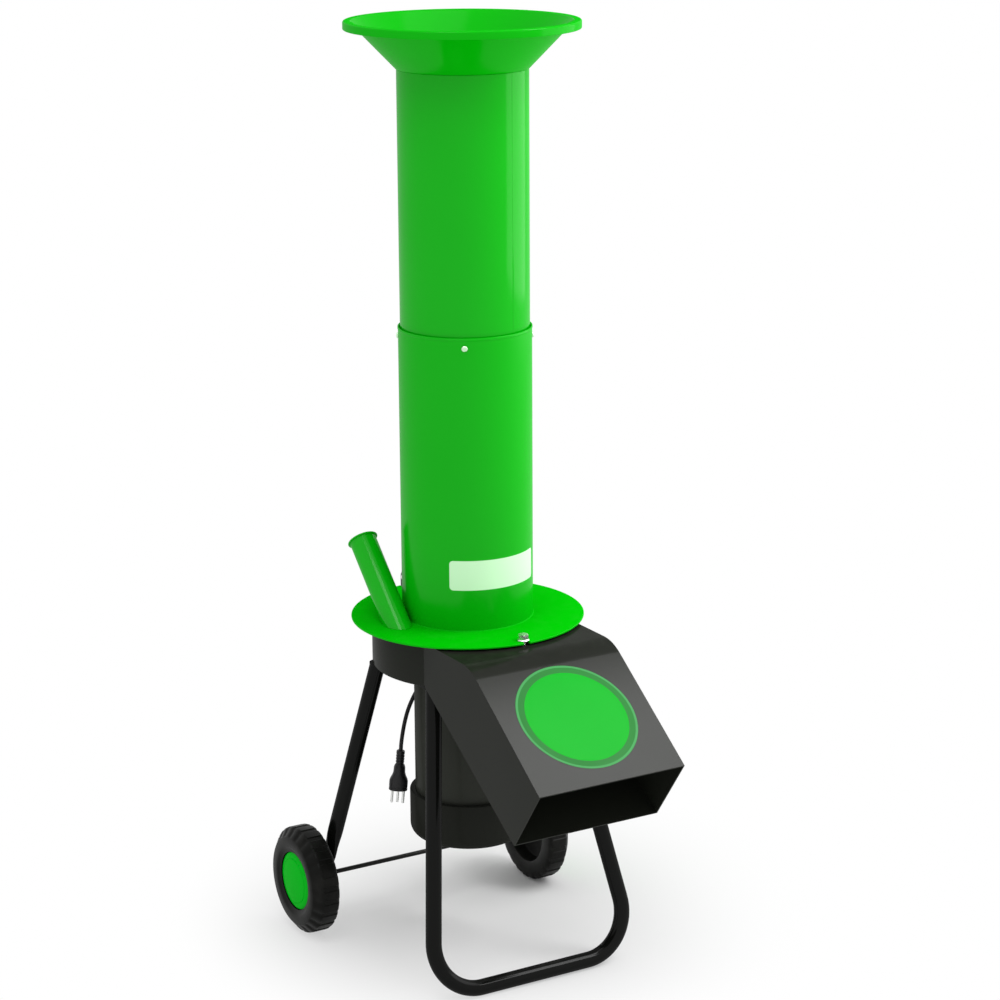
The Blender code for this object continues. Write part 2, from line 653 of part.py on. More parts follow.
def make_chute(axis):
    """Discharge duct: flat roof, bend, slope, upright sides and slanted floor."""
    bend_centre = (-ROOF_FLAT_END, ROOF_TOP - ROOF_BEND_R)
    steps = 7
    quarter = math.pi / 2
    roof = arc(bend_centre, ROOF_BEND_R, quarter, quarter + ROOF_SLOPE, steps)
    notch = FLOOR_TOP + FIT
    back = CHUTE_FLOOR_START - 0.017
    outline = [(-back, ROOF_TOP), *roof, (-MOUTH_TOP_Y, MOUTH_TOP_Z), (-MOUTH_LOW_Y, MOUTH_LOW_Z),
               (-CHUTE_FLOOR_START, DRUM_BOTTOM), (-CHUTE_FLOOR_START, notch), (-back, notch)]
    chute = extruded("discharge_chute", outline, -CHUTE_HALF, CHUTE_HALF, "X")
    ceiling = arc(bend_centre, ROOF_BEND_R - CHUTE_WALL, quarter, quarter + ROOF_SLOPE, steps)
    beyond = 0.04
    slope = Vector((-math.cos(ROOF_SLOPE), -math.sin(ROOF_SLOPE)))
    roof_out = Vector(ceiling[-1]) + slope * (ROOF_SLOPE_LENGTH + beyond)
    run = chute_floor_direction()
    lift = Vector((run.y, -run.x)) * CHUTE_WALL
    floor_in = Vector((-CHUTE_FLOOR_START, DRUM_BOTTOM)) + lift - run * beyond
    floor_out = Vector((-MOUTH_LOW_Y, MOUTH_LOW_Z)) + lift + run * beyond
    hollow = [(-back + beyond, ROOF_TOP - CHUTE_WALL), *ceiling, tuple(roof_out), tuple(floor_out), tuple(floor_in),
              (-back + beyond, floor_in.y)]
    inside = CHUTE_HALF - CHUTE_WALL
    cut(chute, extruded("hollow", hollow, -inside, inside, "X"),
        rod("drum_space", DRUM_R + FIT, FLOOR_TOP, ROOF_TOP + 0.02, BIG),
        rod("bolt_hole", CLOSING_BOLT_R + SLIP, ROOF_TOP - 0.02, ROOF_TOP + 0.02, 16,
            Matrix.Translation((0, -CLOSING_BOLT_Y, 0))))
    fit_out(chute, BLACK, axis)


def make_motor(axis):
    """Motor frame, its two end shields with bearings, the stator and the fan cowl."""
    housing = turned("motor_housing", [(HOUSING_R, HOUSING_TOP), (HOUSING_R, HOUSING_BOTTOM),
                                       (HOUSING_BORE_R, HOUSING_BOTTOM), (HOUSING_BORE_R, HOUSING_TOP)], BIG)
    window = block("window", (BOX_LEFT * -0.4, 0, BOX_BOTTOM + BOX_WALL * 2),
                   (BOX_LEFT * 0.4, HOUSING_R * 1.3, BOX_BOTTOM + BOX_WALL * 2 + 0.010))
    cut(housing, window)
    fit_out(housing, BLACK, axis)
    spigot = HOUSING_BORE_R - FIT
    seat = BEARING_R + FIT
    bolt_low = HOUSING_TOP - SHIELD_THICK - 0.004
    top = turned("top_shield", [(seat, HOUSING_TOP), (spigot, HOUSING_TOP), (spigot, HOUSING_TOP - SHIELD_THICK),
                                (seat, HOUSING_TOP - SHIELD_THICK)], BIG)
    cut(top, *[rod("hole", BOLT_R + FIT, bolt_low, HOUSING_TOP + 0.01, SMALL, Matrix.Translation((x, y, 0)))
               for x, y in motor_bolt_places()])
    fit_out(top, CAST, axis)
    low = HOUSING_BOTTOM
    bottom = turned("bottom_shield", [(seat, low), (spigot, low), (spigot, low + SHIELD_THICK),
                                      (seat, low + SHIELD_THICK)], BIG)
    fit_out(bottom, CAST, axis)
    for name, middle in (("upper_bearing", HOUSING_TOP - SHIELD_THICK / 2),
                         ("lower_bearing", low + SHIELD_THICK / 2)):
        half = BEARING_WIDTH / 2
        inner = SHAFT_R + FIT
        profile = [(inner, middle - half), (inner + 0.003, middle - half), (inner + 0.0035, middle - half + 0.0008),
                   (BEARING_R - 0.0035, middle - half + 0.0008), (BEARING_R - 0.003, middle - half),
                   (BEARING_R, middle - half), (BEARING_R, middle + half), (inner, middle + half)]
        fit_out(turned(name, profile, 24), STEEL, axis)
    core = turned("stator_core", [(spigot, STATOR_TOP), (spigot, STATOR_BOTTOM), (STATOR_BORE_R, STATOR_BOTTOM),
                                  (STATOR_BORE_R, STATOR_TOP)], MEDIUM)
    fit_out(core, STEEL, axis)
    outer = STATOR_BORE_R - FIT
    inner = outer - WINDING_WALL
    below = STATOR_BOTTOM - FIT
    above = STATOR_TOP + FIT
    profile = [(inner, below - WINDING_OVERHANG), (WINDING_END_R - 0.006, below - WINDING_OVERHANG),
               (WINDING_END_R, below - WINDING_OVERHANG + 0.006), (WINDING_END_R, below), (outer, below),
               (outer, above), (WINDING_END_R, above), (WINDING_END_R, above + WINDING_OVERHANG - 0.006),
               (WINDING_END_R - 0.006, above + WINDING_OVERHANG), (inner, above + WINDING_OVERHANG)]
    fit_out(turned("stator_winding", profile, MEDIUM), COPPER, axis)


def make_fan_cowl(axis):
    """Deep round cowl over the fan, with radial vents in its bottom."""
    centre = (COWL_R - COWL_ROUND, COWL_BOTTOM + COWL_ROUND)
    outside = arc(centre, COWL_ROUND, -math.pi / 2, 0, 4)
    inside = arc(centre, COWL_ROUND - COWL_WALL, 0, -math.pi / 2, 4)
    ledge = HOUSING_R + FIT
    bore = COWL_R - COWL_WALL
    profile = [(0, COWL_BOTTOM), *outside, (COWL_R, COWL_TOP - 0.0015), (COWL_R - 0.0015, COWL_TOP),
               (ledge, COWL_TOP), (ledge, COWL_TOP - COWL_WALL), (bore, COWL_TOP - COWL_WALL),
               *inside, (0, COWL_BOTTOM + COWL_WALL)]
    cowl = turned("fan_cowl", profile, BIG)
    for k in range(VENT_COUNT):
        vent = block("vent", (VENT_INNER_R, -VENT_WIDTH / 2, COWL_BOTTOM - 0.01),
                     (VENT_OUTER_R, VENT_WIDTH / 2, COWL_BOTTOM + 0.01))
        vent.data.transform(Matrix.Rotation(2 * math.pi * k / VENT_COUNT, 4, "Z"))
        cut(cowl, vent)
    fit_out(cowl, BLACK, axis)


def make_hex_bolt(name, place, seat, tip, finish, axis):
    pose = Matrix.Translation((*place, 0))
    shank = rod(name, BOLT_R, tip, seat + BOLT_HEAD / 2, SMALL, pose)
    join(shank, extruded("head", hexagon(BOLT_HEX, 0.3, place), seat, seat + BOLT_HEAD))
    fit_out(shank, finish, axis)


def make_floor_bolts(axis):
    """Bolts through the drum floor: four into the motor, four into the legs' tabs."""
    seat = FLOOR_TOP + FIT
    for number, place in enumerate(motor_bolt_places()):
        make_hex_bolt("motor_bolt_%d" % (number + 1), place, seat, HOUSING_TOP - SHIELD_THICK + 0.002, ZINC, axis)
    for number, place in enumerate(leg_bolt_places()):
        make_hex_bolt("leg_bolt_%d" % (number + 1), place, seat, seat - LEG_BOLT_LENGTH, ZINC, axis)


def space_above_legs():
    """What lies over the legs: the drum floor and the chute's slanted floor."""
    run = chute_floor_direction()
    down = Vector((-run.y, run.x)) * FIT
    start = Vector((-CHUTE_FLOOR_START, DRUM_BOTTOM)) + down
    end = start + run * 0.2
    high = LID_TOP
    back = DRUM_R * 2
    outline = [(back, DRUM_BOTTOM - FIT), (start.x, DRUM_BOTTOM - FIT), tuple(end), (end.x, high), (back, high)]
    return extruded("space", outline, -DRUM_R * 2, DRUM_R * 2, "X")


def tab_plate(leg_place, bolt_place):
    """Flat tab from a leg's top to its bolt, with round ends."""
    a = Vector(leg_place)
    b = Vector(bolt_place)
    heading = math.atan2(b.y - a.y, b.x - a.x)
    half = math.pi / 2
    outline = arc(b, TAB_R, heading - half, heading + half, 6) + arc(a, TAB_R, heading + half, heading + 3 * half, 6)
    high = DRUM_BOTTOM - FIT
    return extruded("tab", outline, high - TAB_THICK, high)


def finish_leg(leg, pairs, axis):
    join(leg, *[tab_plate(leg_place, bolt_place) for leg_place, bolt_place in pairs])
    holes = [rod("hole", BOLT_R + FIT, DRUM_BOTTOM - LEG_BOLT_LENGTH * 1.5, DRUM_BOTTOM + 0.02, SMALL,
                 Matrix.Translation((*bolt_place, 0))) for _, bolt_place in pairs]
    cut(leg, space_above_legs(), *holes)
    fit_out(leg, LEG_BLACK, axis)


def make_front_legs(axis):
    """One tube bent into a U: two legs and the bar that stands on the floor."""
    top = Vector((FRONT_TOP_X, -FRONT_TOP_Y, DRUM_BOTTOM))
    corner = Vector((FRONT_BAR_HALF, -FRONT_BAR_Y, LEG_R))
    rise = (top - corner).normalized()
    inward = Vector((-1, 0, 0))
    half_angle = rise.angle(inward) / 2
    setback = FRONT_BEND_R / math.tan(half_angle)
    centre = corner + (rise + inward).normalized() * (FRONT_BEND_R / math.sin(half_angle))
    start = corner + rise * setback - centre
    end = corner + inward * setback - centre
    sweep = start.angle(end)
    normal = start.cross(end).normalized()
    side = [top + rise * 0.01]
    steps = 7
    for k in range(steps + 1):
        side.append(centre + Matrix.Rotation(sweep * k / steps, 3, normal) @ start)
    points = side + [Vector((-p.x, p.y, p.z)) for p in reversed(side)]
    frame = bent_tube("front_leg_frame", points, LEG_R, 5)
    pairs = [((s * FRONT_TOP_X, -FRONT_TOP_Y), front_bolt_place(s)) for s in (-1, 1)]
    finish_leg(frame, pairs, axis)


def make_rear_leg(name, side, axis):
    """Tube leg whose lower end is pressed flat and rounded for the axle."""
    top = Vector((side * REAR_TOP_X, REAR_TOP_Y, DRUM_BOTTOM))
    eye = Vector((side * REAR_FOOT_X, WHEEL_Y, WHEEL_R))
    knee = eye - Vector((side * 0.004, 0.010, -REAR_FLAT_LENGTH))
    lean = (knee - top).normalized()
    drop = (eye - knee).normalized()
    across = Vector((0, 1, 0))
    thick = REAR_FOOT_THICK / 2

    def ring(centre, heading, half_thick, half_wide):
        side_way = Vector((1, 0, 0)) - heading * heading.x
        up_way = across - heading * heading.y
        wide = up_way.normalized() - side_way.normalized() * up_way.normalized().dot(side_way.normalized())
        return centre, side_way.normalized() * half_thick, wide.normalized() * half_wide

    sections = [ring(top - lean * 0.012, lean, LEG_R, LEG_R),
                ring(knee - lean * 0.030, lean, LEG_R, LEG_R),
                ring(knee - lean * 0.012, lean, LEG_R * 0.75, LEG_R * 1.15),
                ring(knee, (lean + drop).normalized(), thick * 1.2, REAR_FOOT_HALF * 0.96),
                ring(knee + drop * 0.012, Vector((0, 0, -1)), thick, REAR_FOOT_HALF)]
    for k in range(7):
        angle = k * math.pi / 2 / 6.6
        centre = eye + Vector((0, 0, -REAR_FOOT_HALF * math.sin(angle)))
        sections.append(ring(centre, Vector((0, 0, -1)), thick, REAR_FOOT_HALF * math.cos(angle)))
    leg = lofted(name, sections)
    cut(leg, rod("axle_hole", AXLE_R + FIT, -0.03, 0.03, 16, along((1, 0, 0), eye)))
    finish_leg(leg, [((side * REAR_TOP_X, REAR_TOP_Y), rear_bolt_place(side))], axis)


def make_axle(axis):
    """Plain rod through both rear legs, with a push nut inside each hub cap."""
    pose = along((1, 0, 0), (0, WHEEL_Y, WHEEL_R))
    seat = WEB_OUTER_X + RUN
    end = seat + AXLE_NUT + AXLE_STICK
    fit_out(rod("axle", AXLE_R, -end, end, 16, pose), STEEL, axis)
    for name, low in (("axle_nut_left", -seat - AXLE_NUT), ("axle_nut_right", seat)):
        inner = AXLE_R + FIT
        profile = [(inner, low), (AXLE_NUT_R, low), (AXLE_NUT_R, low + AXLE_NUT), (inner, low + AXLE_NUT)]
        fit_out(turned(name, profile, 16, pose), ZINC, axis)


def wheel_profile():
    """Half outline of a wheel as (radius, distance outwards from its middle plane)."""
    half = WHEEL_WIDTH / 2
    web_out = WEB_OUTER_X - WHEEL_X
    hub_in = REAR_FOOT_X + REAR_FOOT_THICK / 2 + RUN - WHEEL_X
    bore = AXLE_R + RUN
    cap_seat = CAP_R + RUN
    tread_out = half - SHOULDER_WIDTH
    face_r = WHEEL_R - SHOULDER_DROP
    return [
        (bore, hub_in), (HUB_OUTER_R, hub_in), (HUB_OUTER_R + 0.002, 0.0), (RIM_R - 0.006, 0.0),
        (RIM_R - 0.003, -half + 0.002), (RIM_R, -half),
        (WHEEL_R - 0.004, -half), (WHEEL_R - 0.0012, -half + 0.0015), (WHEEL_R, -half + 0.0045),
        (WHEEL_R, tread_out - 0.004), (WHEEL_R - 0.0015, tread_out), (face_r, half),
        (cap_seat + 0.008, half), (cap_seat + 0.002, half - 0.0025), (cap_seat, half - 0.003),
        (cap_seat, web_out), (bore, web_out),
    ]


def make_wheel(name, side, axis):
    """Moulded wheel: lugged tread with a sloping shoulder, dished inside, seat for the cap outside."""
    bm = bmesh.new()
    profile = wheel_profile()
    steps = LUG_COUNT * 2
    rings = []
    for k in range(steps):
        angle = 2 * math.pi * k / steps
        groove = LUG_DEPTH if k % 2 else 0.0
        ring = []
        for radius, out in profile:
            reach = radius - groove if radius > WHEEL_R - LUG_DEPTH else radius
            ring.append(bm.verts.new((side * (WHEEL_X + out), WHEEL_Y + reach * math.sin(angle),
                                      WHEEL_R - reach * math.cos(angle))))
        rings.append(ring)
    count = len(profile)
    for k in range(steps):
        a, b = rings[k - 1], rings[k]
        for j in range(count):
            bm.faces.new((a[j - 1], a[j], b[j], b[j - 1]))
    fit_out(solid(name, bm), RUBBER, axis)


def make_hub_cap(name, side, axis):
    """Thin domed cap that snaps into the wheel over the axle's end."""
    rim = WHEEL_OUTER_X - CAP_DOME
    dome_steps = 5
    outer = []
    inner = []
    for k in range(dome_steps + 1):
        turn = math.pi / 2 * k / dome_steps
        outer.append((CAP_R * math.cos(turn), rim + CAP_DOME * math.sin(turn)))
        inner.append(((CAP_R - CAP_WALL) * math.cos(turn), rim + (CAP_DOME - CAP_WALL) * math.sin(turn)))
    outer[-1] = (0, rim + CAP_DOME)
    inner[-1] = (0, rim + CAP_DOME - CAP_WALL)
    skirt = WEB_OUTER_X + RUN
    profile = [(CAP_R, skirt), *outer, *reversed(inner), (CAP_R - CAP_WALL, skirt)]
    pose = along((side, 0, 0), (0, WHEEL_Y, WHEEL_R))
    fit_out(turned(name, profile, MEDIUM, pose), GREEN, axis)


def make_rotor(axis):
    """Motor shaft with its core and fan, and the cutter disc with two knives."""
    hub_low = DISC_TOP - DISC_THICK - HUB_LENGTH
    nut_top = DISC_TOP + FIT + SHAFT_NUT_HEIGHT
    bore = SHAFT_R + FIT
    profile = [(0, SHAFT_BOTTOM), (SHAFT_R, SHAFT_BOTTOM), (SHAFT_R, HOUSING_TOP + FIT),
               (SHAFT_COLLAR_R, HOUSING_TOP + FIT), (SHAFT_COLLAR_R, hub_low - FIT), (SHAFT_R, hub_low - FIT),
               (SHAFT_R, nut_top + 0.002), (0, nut_top + 0.002)]
    fit_out(turned("motor_shaft", profile, 24), STEEL, axis)
    core_r = STATOR_BORE_R - FIT - WINDING_WALL - AIR_GAP
    core = turned("rotor_core", [(core_r, STATOR_TOP), (core_r, STATOR_BOTTOM), (bore, STATOR_BOTTOM),
                                 (bore, STATOR_TOP)], MEDIUM)
    fit_out(core, STEEL, axis)

    fan_top = FAN_BOTTOM + FAN_BLADE_HEIGHT
    fan = turned("cooling_fan", [(bore, FAN_BOTTOM), (0.014, FAN_BOTTOM), (0.014, fan_top - 0.002),
                                 (FAN_R, fan_top - 0.002), (FAN_R, fan_top), (bore, fan_top)], MEDIUM)
    for k in range(FAN_BLADES):
        blade = block("blade", (0.013, -0.001, FAN_BOTTOM + 0.002), (FAN_R - 0.001, 0.001, fan_top - 0.001))
        blade.data.transform(Matrix.Rotation(2 * math.pi * k / FAN_BLADES, 4, "Z"))
        join(fan, blade)
    fit_out(fan, PALE, axis)

    disc_low = DISC_TOP - DISC_THICK
    disc = turned("cutter_disc", [(bore, hub_low), (HUB_R, hub_low), (HUB_R, disc_low), (DISC_R, disc_low),
                                  (DISC_R, DISC_TOP), (bore, DISC_TOP)], BIG)
    for k in range(PADDLE_COUNT):
        paddle = block("paddle", (PADDLE_INNER_R, -PADDLE_THICK / 2, FLOOR_TOP + FIT + BOLT_HEAD + PADDLE_RUN),
                       (DISC_R - 0.001, PADDLE_THICK / 2, disc_low + 0.001))
        turn = math.pi / 4 + 2 * math.pi * k / PADDLE_COUNT
        paddle.data.transform(Matrix.Rotation(turn, 4, "Z"))
        join(disc, paddle)
    bevel_start = KNIFE_LEAD - KNIFE_BEVEL
    for number, name in enumerate(("knife_a", "knife_b")):
        turn = Matrix.Rotation(math.pi * number, 4, "Z")
        slot = block("slot", (KNIFE_START + 0.006, bevel_start + 0.001, disc_low - 0.002),
                     (KNIFE_END - 0.006, KNIFE_LEAD + CHIP_SLOT, DISC_TOP + 0.002))
        slot.data.transform(turn)
        cut(disc, slot)
        outline = [(-KNIFE_TRAIL, KNIFE_BOTTOM), (bevel_start, KNIFE_BOTTOM), (KNIFE_LEAD, KNIFE_TOP),
                   (-KNIFE_TRAIL, KNIFE_TOP)]
        knife = extruded(name, outline, KNIFE_START, KNIFE_END, "X")
        knife.data.transform(turn)
        fit_out(knife, STEEL, axis)
    fit_out(disc, STEEL, axis)

    nut = extruded("shaft_nut", hexagon(SHAFT_NUT_HEX), DISC_TOP + FIT, nut_top)
    cut(nut, rod("bore", bore, DISC_TOP - 0.01, nut_top + 0.01, 24))
    fit_out(nut, ZINC, axis)


def make_switch_box(axis, rocker_axis):
    """Box on the back of the motor with the rocker switch and the run capacitor."""
    high = BOX_BOTTOM + BOX_HEIGHT
    box = block("switch_box", (-BOX_LEFT, HOUSING_R * 0.7, BOX_BOTTOM), (BOX_RIGHT, BOX_BACK, high))
    cavity = block("cavity", (-BOX_LEFT + BOX_WALL, HOUSING_R * 0.5, BOX_BOTTOM + BOX_WALL),
                   (BOX_RIGHT - BOX_WALL, BOX_BACK - BOX_WALL, high - BOX_WALL))
    middle = BOX_BOTTOM + BOX_HEIGHT / 2
    window = block("window", (ROCKER_X - ROCKER_HALF_WIDTH - RUN, BOX_BACK - 0.01, middle - ROCKER_HALF_HEIGHT - 0.001),
                   (ROCKER_X + ROCKER_HALF_WIDTH + RUN, BOX_BACK + 0.01, middle + ROCKER_HALF_HEIGHT + 0.001))
    cut(box, cavity, window, rod("motor_side", HOUSING_R + FIT, BOX_BOTTOM - 0.01, high + 0.01, BIG))
    fit_out(box, BLACK, axis)

    outline = [(-0.007, -0.006), (0.001, -ROCKER_HALF_HEIGHT), (0.0035, -ROCKER_HALF_HEIGHT), (0.0015, 0.0),
               (0.0035, ROCKER_HALF_HEIGHT), (0.001, ROCKER_HALF_HEIGHT), (-0.007, 0.006)]
    rocker = extruded("switch_rocker", outline, -ROCKER_HALF_WIDTH, ROCKER_HALF_WIDTH, "X")
    rocker.data.transform(Matrix.Translation((ROCKER_X, BOX_BACK - BOX_WALL / 2, middle))
                          @ Matrix.Rotation(ROCKER_REST, 4, "X"))
    fit_out(rocker, RED, rocker_axis)

    low = BOX_RIGHT - BOX_WALL - FIT - CAPACITOR_LENGTH
    centre = (0, BOX_BACK - BOX_WALL - FIT - CAPACITOR_R, BOX_BOTTOM + BOX_WALL + FIT + CAPACITOR_R)
    capacitor = rod("capacitor", CAPACITOR_R, low, low + CAPACITOR_LENGTH, 20, along((1, 0, 0), centre))
    fit_out(capacitor, PALE, axis)


def hang_point(reach, drop):
    """A point of the hanging cord, in the upright plane that it hangs in."""
    return Vector((GLAND_X + reach * math.cos(HANG_TURN), GLAND_Y + reach * math.sin(HANG_TURN), BOX_BOTTOM - drop))


def smooth_route(points, parts):
    """Catmull-Rom curve through the route's points."""
    ends = [points[0] * 2 - points[1], *points, points[-1] * 2 - points[-2]]
    route = []
    for a, b, c, d in zip(ends, ends[1:], ends[2:], ends[3:]):
        for k in range(parts):
            t = k / parts
            route.append(0.5 * (2 * b + (c - a) * t + (2 * a - 5 * b + 4 * c - d) * t * t
                                + (3 * b - a - 3 * c + d) * t ** 3))
    route.append(points[-1])
    return route


def make_cord(axis):
    """Strain relief, the short free cord and the plug that hangs on it."""
    lean = math.sin(BOOT_LEAN)
    out = Vector((lean * math.cos(HANG_TURN), lean * math.sin(HANG_TURN), -math.cos(BOOT_LEAN)))
    root = Vector((GLAND_X, GLAND_Y, BOX_BOTTOM))
    profile = [(0, -0.012), (BOOT_BASE_R, -0.012), (BOOT_BASE_R, 0.004), (BOOT_TIP_R, BOOT_LENGTH),
               (0, BOOT_LENGTH)]
    boot = turned("cord_boot", profile, 16, along(out, root))
    room = BOOT_LENGTH * 2
    cut(boot, block("above", (root.x - room, root.y - room, BOX_BOTTOM - FIT),
                    (root.x + room, root.y + room, BOX_BOTTOM + room)))
    fit_out(boot, RUBBER, axis)

    route = [hang_point(reach, drop) for reach, drop in CORD_ROUTE]
    cord = bent_tube("power_cord", smooth_route(route, 2), CORD_R, 3)
    fit_out(cord, RUBBER, axis)

    down = Vector((0, 0, -1))
    away = Vector((math.cos(HANG_TURN), math.sin(HANG_TURN), 0))
    hang = down * math.cos(PLUG_LEAN) + away * math.sin(PLUG_LEAN)
    pose = (Matrix.Translation(route[-1]) @ down.rotation_difference(hang).to_matrix().to_4x4()
            @ Matrix.Rotation(PLUG_TURN, 4, "Z"))
    shoulder_r = PLUG_NECK_R * 1.35
    shape = [(0.0, PLUG_NECK_R * 0.9, PLUG_NECK_R * 0.9), (0.02, PLUG_NECK_R, PLUG_NECK_R),
             (0.34, PLUG_NECK_R, PLUG_NECK_R), (0.40, shoulder_r, shoulder_r), (0.54, shoulder_r * 1.05, shoulder_r),
             (0.76, PLUG_HALF_WIDTH, PLUG_HALF_DEPTH), (0.97, PLUG_HALF_WIDTH, PLUG_HALF_DEPTH),
             (1.0, PLUG_HALF_WIDTH - 0.001, PLUG_HALF_DEPTH - 0.001)]
    sections = [((0, 0, -FIT - PLUG_LENGTH * share), (half_wide, 0, 0), (0, half_deep, 0))
                for share, half_wide, half_deep in shape]
    plug = lofted("plug_body", sections, 20)
    plug.data.transform(pose)
    fit_out(plug, RUBBER, axis)
    face = -PLUG_LENGTH - 2 * FIT
    for number, (across, depth) in enumerate(((-PIN_SPACING, 0), (0, PIN_OFFSET), (PIN_SPACING, 0))):
        profile = [(0, face - PIN_LENGTH), (PIN_R * 0.6, face - PIN_LENGTH), (PIN_R, face - PIN_LENGTH + 0.001),
                   (PIN_R, face), (0, face)]
        pin_pose = pose @ Matrix.Translation((across, depth, 0))
        fit_out(turned("plug_pin_%d" % (number + 1), profile, 10, pin_pose), PALE, axis)


def build():
    clear_scene()
    # Tools are drawn and used at the tube's axis, and the empties move everything afterwards.
    machine = axis_empty("machine", (0, 0, 0))
    lid_axis = axis_empty("lid_axis", (0, HINGE_Y, HINGE_Z), machine)
    bolt_axis = axis_empty("closing_bolt_axis", (0, -CLOSING_BOLT_Y, LID_TOP), machine)
    rotor_axis = axis_empty("rotor_axis", (0, 0, DRUM_BOTTOM), machine)
    left_axis = axis_empty("wheel_left_axis", (-WHEEL_X, WHEEL_Y, WHEEL_R), machine)
    right_axis = axis_empty("wheel_right_axis", (WHEEL_X, WHEEL_Y, WHEEL_R), machine)
    rocker_axis = axis_empty("switch_rocker_axis",
                             (ROCKER_X, BOX_BACK - BOX_WALL / 2, BOX_BOTTOM + BOX_HEIGHT / 2), machine)
    make_funnel(lid_axis)
    make_feed_tubes(lid_axis)
    make_lid(lid_axis)
    make_branch_tube(lid_axis)
    make_knuckle(lid_axis)
    make_counter_knife(lid_axis)
    make_closing_bolt(bolt_axis)
    make_closing_nut(machine)
    make_hinge_bracket(machine)
    make_drum(machine)
    make_chute(machine)
    make_motor(machine)
    make_fan_cowl(machine)
    make_floor_bolts(machine)
    make_front_legs(machine)
    make_rear_leg("rear_leg_left", -1, machine)
    make_rear_leg("rear_leg_right", 1, machine)
    make_axle(machine)
    make_wheel("wheel_left", -1, left_axis)
    make_wheel("wheel_right", 1, right_axis)
    make_hub_cap("hub_cap_left", -1, left_axis)
    make_hub_cap("hub_cap_right", 1, right_axis)
    make_rotor(rotor_axis)
    make_switch_box(machine, rocker_axis)
    make_cord(machine)
    machine.location = (0, TUBE_Y, 0)
    bpy.context.view_layer.update()


build()
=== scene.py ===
"""Looks of the electric garden shredder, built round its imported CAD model.

Metres, in the CAD's own frame. Most pieces are drawn about the feed tubes' upright axis
and are moved onto it when they are made.
"""
import math

import bmesh
import bpy
from mathutils import Matrix, Vector


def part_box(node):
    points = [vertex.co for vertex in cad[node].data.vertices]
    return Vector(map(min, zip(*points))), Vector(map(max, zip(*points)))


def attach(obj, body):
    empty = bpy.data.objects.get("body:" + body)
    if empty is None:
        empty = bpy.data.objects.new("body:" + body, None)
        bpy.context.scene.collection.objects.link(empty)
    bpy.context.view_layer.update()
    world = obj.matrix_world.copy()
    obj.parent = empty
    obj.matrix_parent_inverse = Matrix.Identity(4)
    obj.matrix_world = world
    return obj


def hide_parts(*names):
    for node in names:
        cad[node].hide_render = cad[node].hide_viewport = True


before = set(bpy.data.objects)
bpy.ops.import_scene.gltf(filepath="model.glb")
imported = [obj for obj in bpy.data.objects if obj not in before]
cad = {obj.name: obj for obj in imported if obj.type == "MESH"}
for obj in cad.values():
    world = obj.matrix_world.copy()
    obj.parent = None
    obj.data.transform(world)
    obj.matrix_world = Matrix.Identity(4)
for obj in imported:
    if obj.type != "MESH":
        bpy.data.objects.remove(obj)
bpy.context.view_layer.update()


# Front legs: one painted steel tube, bent into a U on a tube bender, so that its lower bar stands
# on the floor. A flat tab is welded across each end and bolted up into the drum's floor.
# A full turn, a quarter of it, and the gap left between pieces that sit against each other.
FULL = 2 * math.pi
QUARTER = math.pi / 2
FIT = 0.0003
tube_low, tube_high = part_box("upper_feed_tube")
AXIS_Y = (tube_low.y + tube_high.y) / 2
ONTO_AXIS = Matrix.Translation((0, AXIS_Y, 0))
drum_low, drum_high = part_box("chamber_drum")
LEG_R = 0.011
LEG_BEND_R = 0.065
front_top = Vector((0.0963, -0.0743, drum_low.z))
front_corner = Vector((0.1613, -0.1806, LEG_R))
LEG_BEND_STEPS = 24
BAR_STRAIGHT_HALF = 0.04
TAB_R = 0.0125
TAB_THICK = 0.004
TAB_ROUND_STEPS = 14
BOLT_HOLE_R = 0.0043
CHUTE_FLOOR_START = -0.0770
CHUTE_FLOOR_END = (-0.311270, 0.268555)


def middle_of(node):
    """Middle of a CAD node's box, measured from the feed tubes' axis."""
    low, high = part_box(node)
    return (low + high) / 2 - Vector((0, AXIS_Y, 0))


def arc(centre, radius, start, end, steps):
    """Points on an arc about a centre, angles in radians."""
    return [(centre[0] + radius * math.cos(start + (end - start) * k / steps),
             centre[1] + radius * math.sin(start + (end - start) * k / steps)) for k in range(steps + 1)]


def prism(outline, low, high, across="Z"):
    """Extrudes a flat outline, drawn as (y, z) across X and as (x, y) across Z."""
    bm = bmesh.new()
    ends = []
    for level in (low, high):
        ends.append([bm.verts.new((level, a, b) if across == "X" else (a, b, level)) for a, b in outline])
    for k in range(len(outline)):
        bm.faces.new((ends[0][k - 1], ends[0][k], ends[1][k], ends[1][k - 1]))
    bm.faces.new(ends[0])
    bm.faces.new(ends[1])
    return bm


def drill(place, radius, low, high, steps=24):
    """Upright round bar that cuts a hole."""
    return prism(arc(place, radius, 0, FULL * (steps - 1) / steps, steps - 1), low, high)


def lofted(rings):
    """Joins rings of points into one skin with closed ends."""
    bm = bmesh.new()
    made = [[bm.verts.new(point) for point in ring] for ring in rings]
    for low, high in zip(made, made[1:]):
        for k in range(len(low)):
            bm.faces.new((low[k - 1], low[k], high[k], high[k - 1]))
    bm.faces.new(made[0])
    bm.faces.new(made[-1])
    return bm


def bent_bar(points, radius, sides=32):
    """Round bar along a path."""
    path = [Vector(point) for point in points]
    side = (path[1] - path[0]).orthogonal()
    rings = []
    for number, point in enumerate(path):
        ahead = (path[min(number + 1, len(path) - 1)] - path[max(number - 1, 0)]).normalized()
        side = (side - ahead * side.dot(ahead)).normalized()
        up = ahead.cross(side)
        rings.append([point + (side * math.cos(FULL * k / sides) + up * math.sin(FULL * k / sides)) * radius
                      for k in range(sides)])
    return lofted(rings)


